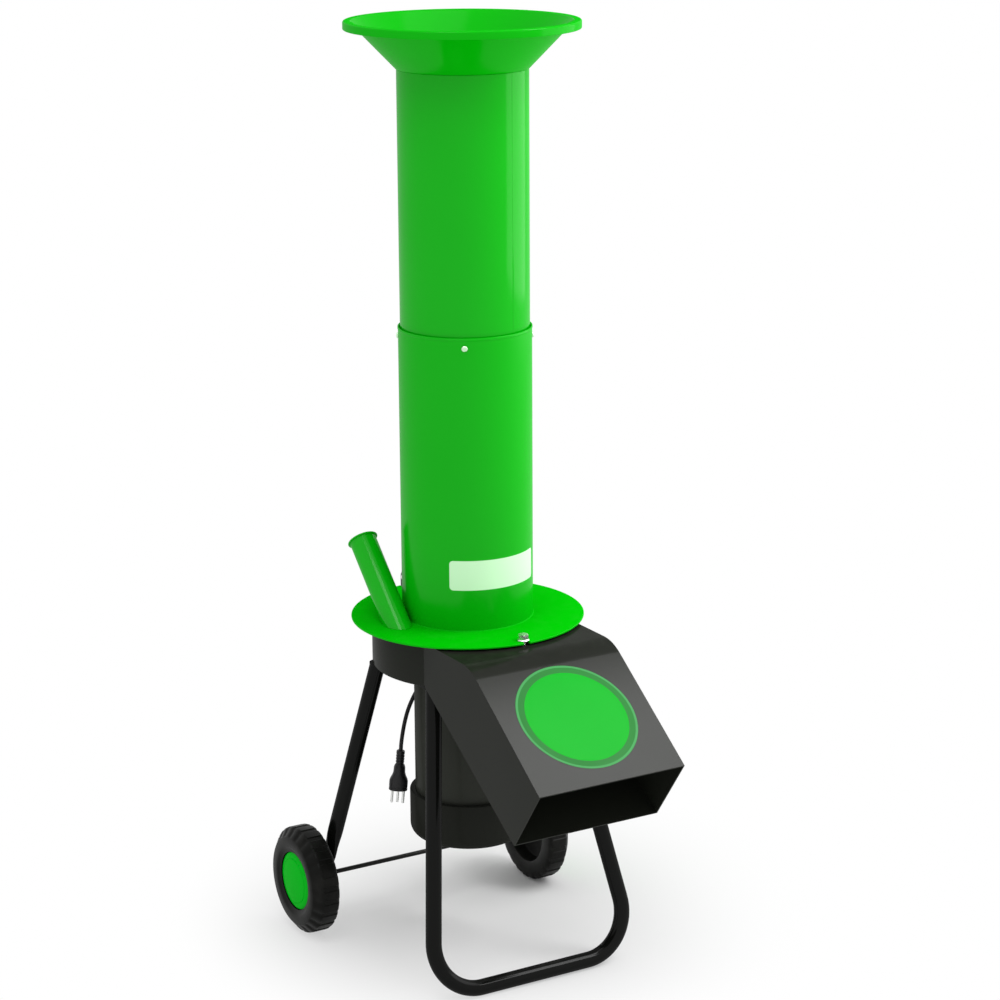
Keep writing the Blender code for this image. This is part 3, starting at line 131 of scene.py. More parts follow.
def added(name, data):
    """A new object in the scene."""
    thing = bpy.data.objects.new(name, data)
    bpy.context.scene.collection.objects.link(thing)
    return thing


def carved(bm, *cutters, operation="DIFFERENCE"):
    """The shape after an exact Boolean with each cutter in turn."""
    drafts = []
    for shape in (bm, *cutters):
        bmesh.ops.recalc_face_normals(shape, faces=shape.faces)
        mesh = bpy.data.meshes.new("draft")
        shape.to_mesh(mesh)
        shape.free()
        drafts.append(added("draft", mesh))
    for cutter in drafts[1:]:
        change = drafts[0].modifiers.new("carve", "BOOLEAN")
        change.operation = operation
        change.solver = "EXACT"
        change.object = cutter
    bpy.context.view_layer.update()
    mesh = bpy.data.meshes.new_from_object(drafts[0].evaluated_get(bpy.context.evaluated_depsgraph_get()))
    result = bmesh.new()
    result.from_mesh(mesh)
    for draft in drafts:
        bpy.data.objects.remove(draft, do_unlink=True)
    return result


def piece(name, bm, body, material, stands_for=(), edge=0.0, angle=32, about=ONTO_AXIS):
    """Makes a shown piece: smooth where it is round, with softened edges, riding on a body."""
    bmesh.ops.recalc_face_normals(bm, faces=bm.faces)
    bmesh.ops.transform(bm, matrix=about, verts=bm.verts)
    mesh = bpy.data.meshes.new(name)
    bm.to_mesh(mesh)
    bm.free()
    mesh.materials.append(material)
    mesh.shade_smooth()
    thing = added(name, mesh)
    if edge:
        soft = thing.modifiers.new("edges", "BEVEL")
        soft.width = edge
        soft.segments = 3
        soft.limit_method = "ANGLE"
        soft.angle_limit = math.radians(angle)
        soft.harden_normals = True
        soft.miter_outer = "MITER_ARC"
    else:
        mesh.set_sharp_from_angle(angle=math.radians(angle))
    if stands_for:
        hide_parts(*stands_for)
    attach(thing, body)
    return thing


def effect(name, **inputs):
    """Starts a shared surface effect and gives its tree, its inputs and its outputs."""
    tree = bpy.data.node_groups.new(name, "ShaderNodeTree")
    tree.interface.new_socket("Place", in_out="INPUT", socket_type="NodeSocketVector")
    tree.interface.new_socket("Colour", in_out="INPUT", socket_type="NodeSocketColor")
    for label, value in inputs.items():
        made = tree.interface.new_socket(label, in_out="INPUT", socket_type="NodeSocketFloat")
        made.default_value = value
    tree.interface.new_socket("Colour", in_out="OUTPUT", socket_type="NodeSocketColor")
    for label in ("Roughness", "Shine"):
        tree.interface.new_socket(label, in_out="OUTPUT", socket_type="NodeSocketFloat")
    tree.interface.new_socket("Normal", in_out="OUTPUT", socket_type="NodeSocketVector")
    return tree, tree.nodes.new("NodeGroupInput").outputs, tree.nodes.new("NodeGroupOutput").inputs


def gives(tree, outputs, **values):
    """Ends a shared surface effect: each value goes to the output of its name."""
    for label, value in values.items():
        tree.links.new(value, outputs[label])


def noise(tree, place, scale, detail=3.0):
    """Noise between 0 and 1 at a place; the scale is a number or a socket."""
    made = tree.nodes.new("ShaderNodeTexNoise")
    made.inputs["Detail"].default_value = detail
    tree.links.new(place, made.inputs["Vector"])
    if isinstance(scale, float):
        made.inputs["Scale"].default_value = scale
    else:
        tree.links.new(scale, made.inputs["Scale"])
    return made.outputs["Fac"]


def sums(tree, operation, *values):
    """A Math node on sockets or numbers."""
    made = tree.nodes.new("ShaderNodeMath")
    made.operation = operation
    for slot, value in zip(made.inputs, values):
        if isinstance(value, float):
            slot.default_value = value
        else:
            tree.links.new(value, slot)
    return made.outputs[0]


def spread(tree, value, amount, about, centre=0.5):
    """Lets a noise swing a value by an amount about its centre."""
    return sums(tree, "MULTIPLY_ADD", sums(tree, "SUBTRACT", value, centre), amount, about)


def ramp(tree, value, low, high):
    """Zero below low and one above high."""
    made = tree.nodes.new("ShaderNodeMapRange")
    made.interpolation_type = "SMOOTHSTEP"
    made.inputs["From Min"].default_value = low
    made.inputs["From Max"].default_value = high
    tree.links.new(value, made.inputs["Value"])
    return made.outputs["Result"]


def tinted(tree, factor, colour, dust_and_painted_shade):
    """Mixes a colour towards a fixed one."""
    made = tree.nodes.new("ShaderNodeMix")
    made.data_type = "RGBA"
    tree.links.new(factor, made.inputs[0])
    tree.links.new(colour, made.inputs[6])
    made.inputs[7].default_value = (*dust_and_painted_shade, 1.0)
    return made.outputs[2]


def shaded(tree, colour, value):
    """A colour made lighter or darker."""
    made = tree.nodes.new("ShaderNodeHueSaturation")
    tree.links.new(colour, made.inputs["Color"])
    tree.links.new(value, made.inputs["Value"])
    return made.outputs["Color"]


def bumped(tree, height, distance):
    """A normal from a height that stands out by a distance."""
    made = tree.nodes.new("ShaderNodeBump")
    tree.links.new(height, made.inputs["Height"])
    tree.links.new(distance, made.inputs["Distance"])
    return made.outputs["Normal"]


# Sprayed enamel has soft clouds, a fine orange peel, and loses some shine where it faces up and dust settles.
enamel, given, result = effect("sprayed_enamel", Gloss=0.3, Mottle=0.06, Peel=0.00002, Grain=420.0,
                               Shine=0.2, Dust=0.02, Dulled=0.9)
clouds = noise(enamel, given["Place"], 6.0, 3.0)
specks = noise(enamel, given["Place"], 55.0, 2.0)
lie = enamel.nodes.new("ShaderNodeTexCoord")
facing = enamel.nodes.new("ShaderNodeSeparateXYZ")
enamel.links.new(lie.outputs["Normal"], facing.inputs[0])
upward = ramp(enamel, facing.outputs["Z"], 0.86, 0.99)
settled = sums(enamel, "MULTIPLY", upward, ramp(enamel, specks, 0.35, 0.85))
settled = sums(enamel, "MULTIPLY", settled, given["Dust"])
skin = shaded(enamel, given["Colour"], spread(enamel, clouds, given["Mottle"], 1.0))
rough = spread(enamel, specks, 0.06, given["Gloss"])
kept = sums(enamel, "SUBTRACT", 1.0, sums(enamel, "MULTIPLY", upward, given["Dulled"]))
kept = sums(enamel, "MULTIPLY", kept, spread(enamel, clouds, 0.2, 1.0))
peel = noise(enamel, given["Place"], given["Grain"], 2.0)
gives(enamel, result, Colour=tinted(enamel, settled, skin, (0.50, 0.50, 0.46)),
      Roughness=sums(enamel, "ADD", rough, settled), Shine=sums(enamel, "MULTIPLY", kept, given["Shine"]),
      Normal=bumped(enamel, peel, given["Peel"]))


def finish(name, look, colour, coat=None, metal=0.0, specular=0.5, **settings):
    """A material whose colour, roughness and normal come from a shared effect.

    A coat is a clear glossy layer of the roughness given, as strong as the effect's shine. It carries all
    the gloss, so the colour under it has none of its own.
    """
    material = bpy.data.materials.new(name)
    material.use_nodes = True
    tree = material.node_tree
    shader = tree.nodes["Principled BSDF"]
    place = tree.nodes.new("ShaderNodeTexCoord")
    work = tree.nodes.new("ShaderNodeGroup")
    work.node_tree = look
    tree.links.new(place.outputs["Object"], work.inputs["Place"])
    work.inputs["Colour"].default_value = (*colour, 1.0)
    for label, value in settings.items():
        work.inputs[label].default_value = value
    shader.inputs["Metallic"].default_value = metal
    shader.inputs["Specular IOR Level"].default_value = specular
    tree.links.new(work.outputs["Colour"], shader.inputs["Base Color"])
    tree.links.new(work.outputs["Roughness"], shader.inputs["Roughness"])
    tree.links.new(work.outputs["Normal"], shader.inputs["Normal"])
    if coat is not None:
        shader.inputs["Specular IOR Level"].default_value = 0.0
        shader.inputs["Coat Roughness"].default_value = coat
        tree.links.new(work.outputs["Shine"], shader.inputs["Coat Weight"])
    return material


def leg_tab(leg_place, bolt_place):
    """Flat tab with round ends, from a leg's top to its bolt."""
    way = math.atan2(bolt_place[1] - leg_place[1], bolt_place[0] - leg_place[0])
    outline = (arc(bolt_place, TAB_R, way - QUARTER, way + QUARTER, TAB_ROUND_STEPS)
               + arc(leg_place, TAB_R, way + QUARTER, way + 3 * QUARTER, TAB_ROUND_STEPS))
    return prism(outline, drum_low.z - FIT - TAB_THICK, drum_low.z - FIT)


def bolt_hole(bolt, reach=0.02):
    """Cutter for a bolt's hole up through a tab and the drum's floor."""
    return drill((bolt.x, bolt.y), BOLT_HOLE_R, drum_low.z - reach, drum_low.z + reach)


def above_legs():
    """The space that the drum's floor and the chute's slanted floor take from the legs."""
    start = Vector((CHUTE_FLOOR_START, drum_low.z))
    run = (Vector(CHUTE_FLOOR_END) - start).normalized()
    under = start + Vector((-run.y, run.x)) * FIT
    further = 0.2
    past_chute = under + run * further
    high = drum_high.z + further
    low = drum_low.z - FIT
    past_drum = 0.3
    past_sides = 0.4
    outline = [(past_drum, low), (under.x, low), tuple(past_chute), (past_chute.x, high), (past_drum, high)]
    return prism(outline, -past_sides, past_sides, "X")


leg_bolts = [middle_of("leg_bolt_%d" % number) for number in (1, 2, 3, 4)]
front_bolts = [place for place in leg_bolts if place.y < 0]
rear_bolts = [place for place in leg_bolts if place.y > 0]
rise = (front_top - front_corner).normalized()
inward = Vector((-1, 0, 0))
half_angle = rise.angle(inward) / 2
setback = LEG_BEND_R / math.tan(half_angle)
bend_centre = front_corner + (rise + inward).normalized() * (LEG_BEND_R / math.sin(half_angle))
bend_start = front_corner + rise * setback - bend_centre
bend_end = front_corner + inward * setback - bend_centre
bend_axis = bend_start.cross(bend_end).normalized()
side_path = [front_top + rise * along for along in (0.01, -0.1, -0.2)]
for k in range(LEG_BEND_STEPS + 1):
    turn = Matrix.Rotation(bend_start.angle(bend_end) * k / LEG_BEND_STEPS, 3, bend_axis)
    side_path.append(bend_centre + turn @ bend_start)
side_path.append(Vector((BAR_STRAIGHT_HALF, front_corner.y, LEG_R)))
path = side_path + [Vector((-p.x, p.y, p.z)) for p in reversed(side_path)]
legs = bent_bar(path, LEG_R)
tabs = []
for bolt in front_bolts:
    side = math.copysign(1, bolt.x)
    tabs.append(leg_tab((side * front_top.x, front_top.y), (bolt.x, bolt.y)))
legs = carved(legs, *tabs, operation="UNION")
legs = carved(legs, above_legs(), *[bolt_hole(bolt) for bolt in front_bolts])
leg_paint = finish("leg_enamel", enamel, (0.0030, 0.0033, 0.0028), coat=0.15, Gloss=0.34, Mottle=0.2,
                   Grain=600.0, Shine=0.22, Dulled=0.6)
piece("front_legs", legs, "base", leg_paint, ["front_leg_frame"], angle=35)


# Rear legs: two pieces of the same tube, bolted up in the same way. Each is pressed flat and rounded
# at its foot and drilled there for the axle, so the round section flattens over a short length.
def squared(value, power):
    """A sine or cosine raised to a power with its sign kept, which turns a circle into a squarish oval."""
    return math.copysign(abs(value) ** power, value)


rear_top = Vector((0.1125, 0.055, drum_low.z))
axle_place = middle_of("axle")
REAR_FOOT_X = 0.1596
FOOT_HALF_THICK = 0.003
FOOT_HALF_WIDE = 0.0155
FLAT_LENGTH = 0.040
FOOT_RINGS = 13
FOOT_RINGS_PER_QUARTER = 12.4
LEG_SIDES = 40
OVAL_BELOW = 0.0075
AXLE_HOLE_R = 0.00355
AXLE_HOLE_SIDES = 23
for side, name in ((-1, "rear_leg_left"), (1, "rear_leg_right")):
    top = Vector((side * rear_top.x, rear_top.y, rear_top.z))
    eye = Vector((side * REAR_FOOT_X, axle_place.y, axle_place.z))
    knee = eye - Vector((side * 0.004, 0.010, -FLAT_LENGTH))
    lean = (knee - top).normalized()
    drop = (eye - knee).normalized()
    plumb = Vector((0, 0, -1))
    # Each station is a place on the leg, the way it runs there, and half its thickness and width.
    stations = [(top - lean * 0.012, lean, LEG_R, LEG_R), (top + lean * 0.1, lean, LEG_R, LEG_R),
                (knee - lean * 0.034, lean, LEG_R, LEG_R), (knee - lean * 0.026, lean, 0.0105, 0.0112),
                (knee - lean * 0.014, lean, 0.0082, 0.0128),
                (knee - lean * 0.004, (lean * 2 + drop).normalized(), 0.0048, 0.0145),
                (knee + drop * 0.004, (lean + drop * 2).normalized(), 0.0034, 0.0152),
                (knee + drop * 0.012, plumb, FOOT_HALF_THICK, FOOT_HALF_WIDE)]
    for k in range(FOOT_RINGS):
        angle = k * QUARTER / FOOT_RINGS_PER_QUARTER
        stations.append((eye + plumb * FOOT_HALF_WIDE * math.sin(angle), plumb, FOOT_HALF_THICK,
                         FOOT_HALF_WIDE * math.cos(angle)))
    rings = []
    for centre, way, half_thick, half_wide in stations:
        across = (Vector((1, 0, 0)) - way * way.x).normalized()
        onward = Vector((0, 1, 0)) - way * way.y
        onward = (onward - across * onward.dot(across)).normalized()
        squareness = 1.0 if half_thick > OVAL_BELOW else 0.55
        ring = []
        for j in range(LEG_SIDES):
            cosine, sine = math.cos(FULL * j / LEG_SIDES), math.sin(FULL * j / LEG_SIDES)
            ring.append(centre + across * half_thick * squared(cosine, squareness)
                        + onward * half_wide * squared(sine, 1 / max(squareness, 0.9)))
        rings.append(ring)
    bolt = next(place for place in rear_bolts if place.x * side > 0)
    leg = carved(lofted(rings), leg_tab((top.x, top.y), (bolt.x, bolt.y)), operation="UNION")
    hole = arc((eye.y, eye.z), AXLE_HOLE_R, 0, FULL * AXLE_HOLE_SIDES / (AXLE_HOLE_SIDES + 1),
               AXLE_HOLE_SIDES)
    axle_way = prism(hole, eye.x - 0.03, eye.x + 0.03, "X")
    leg = carved(leg, above_legs(), axle_way, bolt_hole(bolt))
    piece(name + "_tube", leg, "base", leg_paint, [name], angle=35)


# Axle: a plain drawn steel rod through both flattened feet. A push nut of spring steel on each end,
# hidden under the hub cap, keeps the wheel on.
ON_AXIS = 1e-6
SAME_PLACE = 1e-6
FLAT_WITHIN = math.radians(0.6)


def turned(profile, steps):
    """Spins a (radius, height) outline about Z, and closes it if it starts off the axis."""
    closed = profile[0][0] > ON_AXIS
    bm = bmesh.new()
    rings = []
    for radius, height in profile:
        count = 1 if radius < ON_AXIS else steps
        ring = []
        for k in range(count):
            angle = FULL * k / steps
            ring.append(bm.verts.new((radius * math.cos(angle), radius * math.sin(angle), height)))
        rings.append(ring)
    for low, high in zip(rings, rings[1:] + (rings[:1] if closed else [])):
        if len(low) == 1 and len(high) == 1:
            continue
        for k in range(steps):
            j = (k + 1) % steps
            corners = [low[0]] if len(low) == 1 else [low[k], low[j]]
            corners += [high[0]] if len(high) == 1 else [high[j], high[k]]
            bm.faces.new(corners)
    return bm


def posed(bm, pose):
    """The shape, moved to a pose."""
    bmesh.ops.transform(bm, matrix=pose, verts=bm.verts)
    return bm


def pointing(direction, start=(0, 0, 0)):
    """Pose that turns +Z to a direction and starts at a point."""
    return Matrix.Translation(Vector(start)) @ Vector(direction).to_track_quat("Z", "Y").to_matrix().to_4x4()


def dressed(node, body, material, edge, angle=32):
    """A CAD node's own shape with its facets joined and its edges softened."""
    bm = bmesh.new()
    bm.from_mesh(cad[node].data)
    bmesh.ops.remove_doubles(bm, verts=bm.verts, dist=SAME_PLACE)
    bmesh.ops.dissolve_limit(bm, angle_limit=FLAT_WITHIN, verts=bm.verts, edges=bm.edges)
    return piece(node + "_dressed", bm, body, material, [node], edge, angle, Matrix())


# Worked metal has fine streaks along one way and small, duller stains.
worked, given, result = effect("worked_metal", Gloss=0.3, Mottle=0.25, Peel=0.00002, Grain=260.0, Run=14.0)
stretch = worked.nodes.new("ShaderNodeVectorMath")
stretch.operation = "MULTIPLY"
widths = worked.nodes.new("ShaderNodeCombineXYZ")
widths.inputs["X"].default_value = 1.0
widths.inputs["Y"].default_value = 1.0
worked.links.new(given["Run"], widths.inputs["Z"])
worked.links.new(given["Place"], stretch.inputs[0])
worked.links.new(widths.outputs[0], stretch.inputs[1])
streaks = noise(worked, stretch.outputs[0], given["Grain"], 5.0)
stains = noise(worked, given["Place"], 45.0, 4.0)
tone = spread(worked, stains, given["Mottle"], 1.0, 0.55)
dulled = ramp(worked, stains, 0.5, 0.8)
rough = sums(worked, "MULTIPLY_ADD", dulled, 0.12, spread(worked, streaks, 0.35, given["Gloss"]))
gives(worked, result, Colour=shaded(worked, given["Colour"], tone), Roughness=rough,
      Normal=bumped(worked, streaks, given["Peel"]))

AXLE_R = 0.00325
AXLE_TIP_R = 0.0027
AXLE_CHAMFER = 0.0006
axle_low, axle_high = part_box("axle")
reach = (axle_high.x - axle_low.x) / 2
outline = [(0, -reach), (AXLE_TIP_R, -reach), (AXLE_R, -reach + AXLE_CHAMFER), (AXLE_R, reach - AXLE_CHAMFER),
           (AXLE_TIP_R, reach), (0, reach)]
axle_steel = finish("axle_steel", worked, (0.014, 0.014, 0.013), metal=0.85, Gloss=0.38, Run=0.05)
piece("axle_rod", posed(turned(outline, 32), pointing((1, 0, 0), axle_place)), "base",
      axle_steel, ["axle"])
nut_zinc = finish("nut_zinc", worked, (0.82, 0.82, 0.80), metal=1.0, Gloss=0.26, Grain=420.0, Run=1.0)
for name in ("axle_nut_left", "axle_nut_right"):
    dressed(name, "base", nut_zinc, 0.0003)


# Wheels: moulded in one piece of black rubber and plastic, with chunky cross lugs that run over the
# sloping shoulder, a flat face ring, a dished inner side with a plain disc, and a seat for the cap.
wheel_low, wheel_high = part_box("wheel_right")
WHEEL_R = (wheel_high.z - wheel_low.z) / 2
FACE_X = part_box("hub_cap_right")[1].x
WHEEL_X = 0.1933
HALF_WIDE = FACE_X - WHEEL_X
WEB = 0.004
BORE_R = 0.00375
HUB_R = 0.014
HUB_IN = REAR_FOOT_X + FOOT_HALF_THICK + 0.0005 - WHEEL_X
FACE_R = WHEEL_R - 0.0138
TREAD_OUT = HALF_WIDE - 0.0091
SEAT_R = 0.0425
LUGS = 24
LUG_SHARE = 0.58
LUG_MIDDLE = LUG_SHARE / 2
GROOVE_DEPTH = 0.0013

# Rubber has a dull skin with a fine grain and a dusty bloom in patches.
rubber, given, result = effect("rubber_skin", Gloss=0.6, Mottle=0.2, Peel=0.00006, Grain=1300.0, Dust=0.05)
patches = noise(rubber, given["Place"], 38.0, 4.0)
grain = noise(rubber, given["Place"], given["Grain"])
bloom = sums(rubber, "MULTIPLY", ramp(rubber, patches, 0.45, 0.75), given["Dust"])
skin = shaded(rubber, given["Colour"], spread(rubber, patches, given["Mottle"], 1.0))
gives(rubber, result, Colour=tinted(rubber, bloom, skin, (0.42, 0.40, 0.36)),
      Roughness=spread(rubber, grain, 0.2, given["Gloss"]), Normal=bumped(rubber, grain, given["Peel"]))

# Each point is a radius, a distance outwards from the wheel's middle plane, and the share of a full
# groove's depth there.
section = [(BORE_R, HUB_IN, 0), (HUB_R - 0.0008, HUB_IN, 0), (HUB_R, HUB_IN + 0.0008, 0),
           (HUB_R + 0.0012, -0.002, 0), (HUB_R + 0.004, 0, 0), (0.0445, 0, 0), (0.0468, -0.0012, 0),
           (0.0480, -0.0040, 0), (0.0490, 0.004 - HALF_WIDE, 0), (0.0500, 0.001 - HALF_WIDE, 0),
           (0.0520, -HALF_WIDE, 0), (WHEEL_R - 0.0090, -HALF_WIDE, 0),
           (WHEEL_R - 0.0038, 0.0004 - HALF_WIDE, 0.5), (WHEEL_R - 0.0012, 0.0020 - HALF_WIDE, 1),
           (WHEEL_R, 0.0050 - HALF_WIDE, 1), (WHEEL_R, TREAD_OUT - 0.0045, 1),
           (WHEEL_R - 0.0006, TREAD_OUT - 0.0016, 1), (WHEEL_R - 0.0020, TREAD_OUT, 1),
           (WHEEL_R - 0.0060, TREAD_OUT + 0.0029, 1.1), (FACE_R + 0.0030, HALF_WIDE - 0.0022, 0.8),
           (FACE_R + 0.0010, HALF_WIDE - 0.0007, 0.1), (FACE_R, HALF_WIDE, 0), (0.0512, HALF_WIDE, 0),
           (0.0498, HALF_WIDE - 0.0004, 0), (0.0470, HALF_WIDE - 0.0018, 0),
           (0.0445, HALF_WIDE - 0.0027, 0), (SEAT_R, HALF_WIDE - 0.0032, 0), (SEAT_R, WEB, 0),
           (BORE_R, WEB, 0)]
# The way from one lug to the next, and whether a groove is cut there.
lug_course = ((0.0, 0), (LUG_MIDDLE, 0), (LUG_SHARE, 0), (0.65, 1), (0.93, 1))
wheel_rubber = finish("wheel_moulding", rubber, (0.0030, 0.0032, 0.0025), specular=0.10, Gloss=0.42,
                      Mottle=0.25, Dust=0.012)
for side, name in ((-1, "left"), (1, "right")):
    bm = bmesh.new()
    rings = []
    for lug in range(LUGS):
        for share, groove in lug_course:
            angle = FULL * (lug + share - LUG_MIDDLE) / LUGS
            ring = []
            for radius, out, depth in section:
                cut_r = radius - groove * depth * GROOVE_DEPTH
                ring.append(bm.verts.new((side * (WHEEL_X + out), axle_place.y + cut_r * math.sin(angle),
                                          axle_place.z - cut_r * math.cos(angle))))
            rings.append(ring)
    for a, b in zip(rings, rings[1:] + rings[:1]):
        for j in range(len(section)):
            bm.faces.new((a[j - 1], a[j], b[j], b[j - 1]))
    piece("wheel_%s_moulding" % name, bm, name + "_wheel", wheel_rubber, ["wheel_" + name],
          angle=38)


# Hub caps: thin domes of glossy green plastic with a shallow ring groove, snapped into the wheels'
# seats over the axle's ends.
CAP_R = 0.042
CAP_DOME = 0.0058
CAP_WALL = 0.002
CAP_SKIRT = WHEEL_X + WEB + 0.0005
CAP_SIDES = 96

# Moulded plastic has an even colour with a fine leathered grain.
moulding, given, result = effect("moulded_plastic", Gloss=0.4, Mottle=0.08, Peel=0.00005, Grain=900.0,
                                 Shine=0.0)
clouds = noise(moulding, given["Place"], 16.0)
tone = spread(moulding, clouds, given["Mottle"], 1.0)
cells = moulding.nodes.new("ShaderNodeTexVoronoi")
cells.feature = "SMOOTH_F1"
moulding.links.new(given["Place"], cells.inputs["Vector"])
moulding.links.new(given["Grain"], cells.inputs["Scale"])
patchy = spread(moulding, clouds, 0.2, 1.0)
gives(moulding, result, Colour=shaded(moulding, given["Colour"], tone),
      Roughness=spread(moulding, clouds, 0.16, given["Gloss"]),
      Shine=sums(moulding, "MULTIPLY", given["Shine"], patchy),
      Normal=bumped(moulding, cells.outputs["Distance"], given["Peel"]))

cap_rim = FACE_X - CAP_DOME
cap_outline = [(CAP_R, CAP_SKIRT), (CAP_R, cap_rim)]
cap_outline += [(CAP_R * math.cos(t), cap_rim + CAP_DOME * math.sin(t)) for t in (0.12, 0.25, 0.4, 0.55)]
cap_outline += [(0.0335, cap_rim + 0.00345), (0.0330, cap_rim + 0.0030), (0.0322, cap_rim + 0.0030),
                (0.0317, cap_rim + 0.0038), (0.027, cap_rim + 0.00443), (0.020, cap_rim + 0.00511),
                (0.011, cap_rim + 0.0056), (0.004, cap_rim + 0.00578), (0, FACE_X), (0, FACE_X - CAP_WALL),
                (0.020, cap_rim + 0.0030), (0.033, cap_rim + 0.0010), (CAP_R - CAP_WALL, cap_rim),
                (CAP_R - CAP_WALL, CAP_SKIRT)]
cap_plastic = finish("cap_moulding", moulding, (0.0004, 0.47, 0.012), coat=0.12, Gloss=0.28, Peel=0.00001,
                     Shine=0.08)
for side, name in ((-1, "left"), (1, "right")):
    pose = pointing((side, 0, 0), (0, axle_place.y, axle_place.z))
    piece("hub_cap_%s_dome" % name, posed(turned(cap_outline, CAP_SIDES), pose), name + "_wheel",
          cap_plastic, ["hub_cap_" + name], angle=50)


# Cutter drum: a round pan of 2.5 mm sheet with a 3 mm floor, welded, ground and sprayed satin black.
# It is open in front, where the chute is welded on, and drilled for the motor's and the legs' bolts.
CORNER_SHARE = 0.48


def rounded(outline, radii, steps=4):
    """Closed outline with rounded corners; radii is one number, or one for each corner."""
    points = []
    for number, corner in enumerate(outline):
        radius = radii[number] if hasattr(radii, "__len__") else radii
        here = Vector(corner)
        back = Vector(outline[number - 1]) - here
        ahead = Vector(outline[(number + 1) % len(outline)]) - here
        if radius <= 0:
            points.append(tuple(here))
            continue
        half = back.angle(ahead) / 2
        setback = min(radius / math.tan(half), back.length * CORNER_SHARE, ahead.length * CORNER_SHARE)
        radius = setback * math.tan(half)
        centre = here + (back.normalized() + ahead.normalized()).normalized() * (radius / math.sin(half))
        start = (here + back.normalized() * setback - centre).normalized()
        end = (here + ahead.normalized() * setback - centre).normalized()
        sweep = start.angle(end)
        for k in range(steps + 1):
            t = k / steps
            way = (start * math.sin((1 - t) * sweep) + end * math.sin(t * sweep)) / math.sin(sweep)
            points.append(tuple(centre + way * radius))
    return points


def box(low, high):
    """Straight block between two corners."""
    (x0, y0, z0), (x1, y1, z1) = low, high
    return prism([(x0, y0), (x1, y0), (x1, y1), (x0, y1)], z0, z1)


DRUM_R = (drum_high.x - drum_low.x) / 2
DRUM_WALL = 0.0025
DRUM_SIDES = 192
SHAFT_HOLE_R = 0.0125
floor_z = drum_low.z + 0.003
outline = rounded([(SHAFT_HOLE_R, drum_low.z), (DRUM_R, drum_low.z), (DRUM_R, drum_high.z),
                   (DRUM_R - DRUM_WALL, drum_high.z), (DRUM_R - DRUM_WALL, floor_z), (SHAFT_HOLE_R, floor_z)],
                  [0, 0.0028, 0.0006, 0.0006, 0.001, 0], 5)
motor_bolts = [middle_of("motor_bolt_%d" % number) for number in (1, 2, 3, 4)]
holes = [bolt_hole(bolt, 0.01) for bolt in leg_bolts + motor_bolts]
open_front = box((-0.2, -0.2, 0.40), (0.2, drum_low.y - AXIS_Y, 0.50))
drum = carved(turned(outline, DRUM_SIDES), open_front, *holes)
BODY_BLACK = (0.0125, 0.0138, 0.0105)
body_paint = finish("drum_enamel", enamel, BODY_BLACK, coat=0.22, Gloss=0.45, Mottle=0.15, Shine=0.22,
                    Dulled=0.8)
piece("drum", drum, "base", body_paint, ["chamber_drum"], angle=40)


# Discharge chute: a duct of 2 mm sheet, folded over a bending bar, closed by two flat side panels and
# welded to the drum. The roof runs level, bends down into a straight slope, and the mouth is cut square.
CHUTE_HALF = 0.1113
CHUTE_WALL = 0.002
ROOF_TOP = 0.480
ROOF_START = -0.060
ROOF_FLAT_END = -0.178
ROOF_BEND_R = 0.068
ROOF_BEND_STEPS = 18
HOLLOW_START = -0.02
SLOPE = math.radians(35)
MOUTH_TOP = (-0.375339, 0.356738)
bolt_low, bolt_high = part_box("closing_bolt")
bolt_place = middle_of("closing_bolt")
BOLT_SLOT_R = 0.0048
bend_middle = (ROOF_FLAT_END, ROOF_TOP - ROOF_BEND_R)
bend = arc(bend_middle, ROOF_BEND_R, QUARTER, QUARTER + SLOPE, ROOF_BEND_STEPS)
floor_start = Vector((CHUTE_FLOOR_START, drum_low.z))
floor_end = Vector(CHUTE_FLOOR_END)
outside = [(ROOF_START, ROOF_TOP), *bend, MOUTH_TOP, tuple(floor_end), tuple(floor_start),
           (floor_start.x, floor_z + FIT), (ROOF_START, floor_z + FIT)]
run = (floor_end - floor_start).normalized()
lift = Vector((run.y, -run.x)) * CHUTE_WALL
ceiling = arc(bend_middle, ROOF_BEND_R - CHUTE_WALL, QUARTER, QUARTER + SLOPE, ROOF_BEND_STEPS)
down_slope = Vector((-math.cos(SLOPE), -math.sin(SLOPE)))
past_ends = 0.04
inner_start = floor_start + lift - run * past_ends
hollow = [(HOLLOW_START, ROOF_TOP - CHUTE_WALL), *ceiling, tuple(Vector(ceiling[-1]) + down_slope * 0.24),
          tuple(floor_end + lift + run * past_ends), tuple(inner_start), (HOLLOW_START, inner_start.y)]
in_drum = drill((0, 0), DRUM_R + FIT, floor_z, 0.50, DRUM_SIDES)
bolt_way = drill((bolt_place.x, bolt_place.y), BOLT_SLOT_R, 0.46, 0.50, 32)
chute = carved(prism(outside, -CHUTE_HALF, CHUTE_HALF, "X"),
               prism(hollow, CHUTE_WALL - CHUTE_HALF, CHUTE_HALF - CHUTE_WALL, "X"), in_drum, bolt_way)
chute_paint = finish("chute_enamel", enamel, BODY_BLACK, coat=0.16, Gloss=0.45, Mottle=0.12, Peel=0.000012,
                     Shine=0.24, Dulled=0.40, Dust=0.01)
piece("chute", chute, "base", chute_paint, ["discharge_chute"], edge=0.0009)


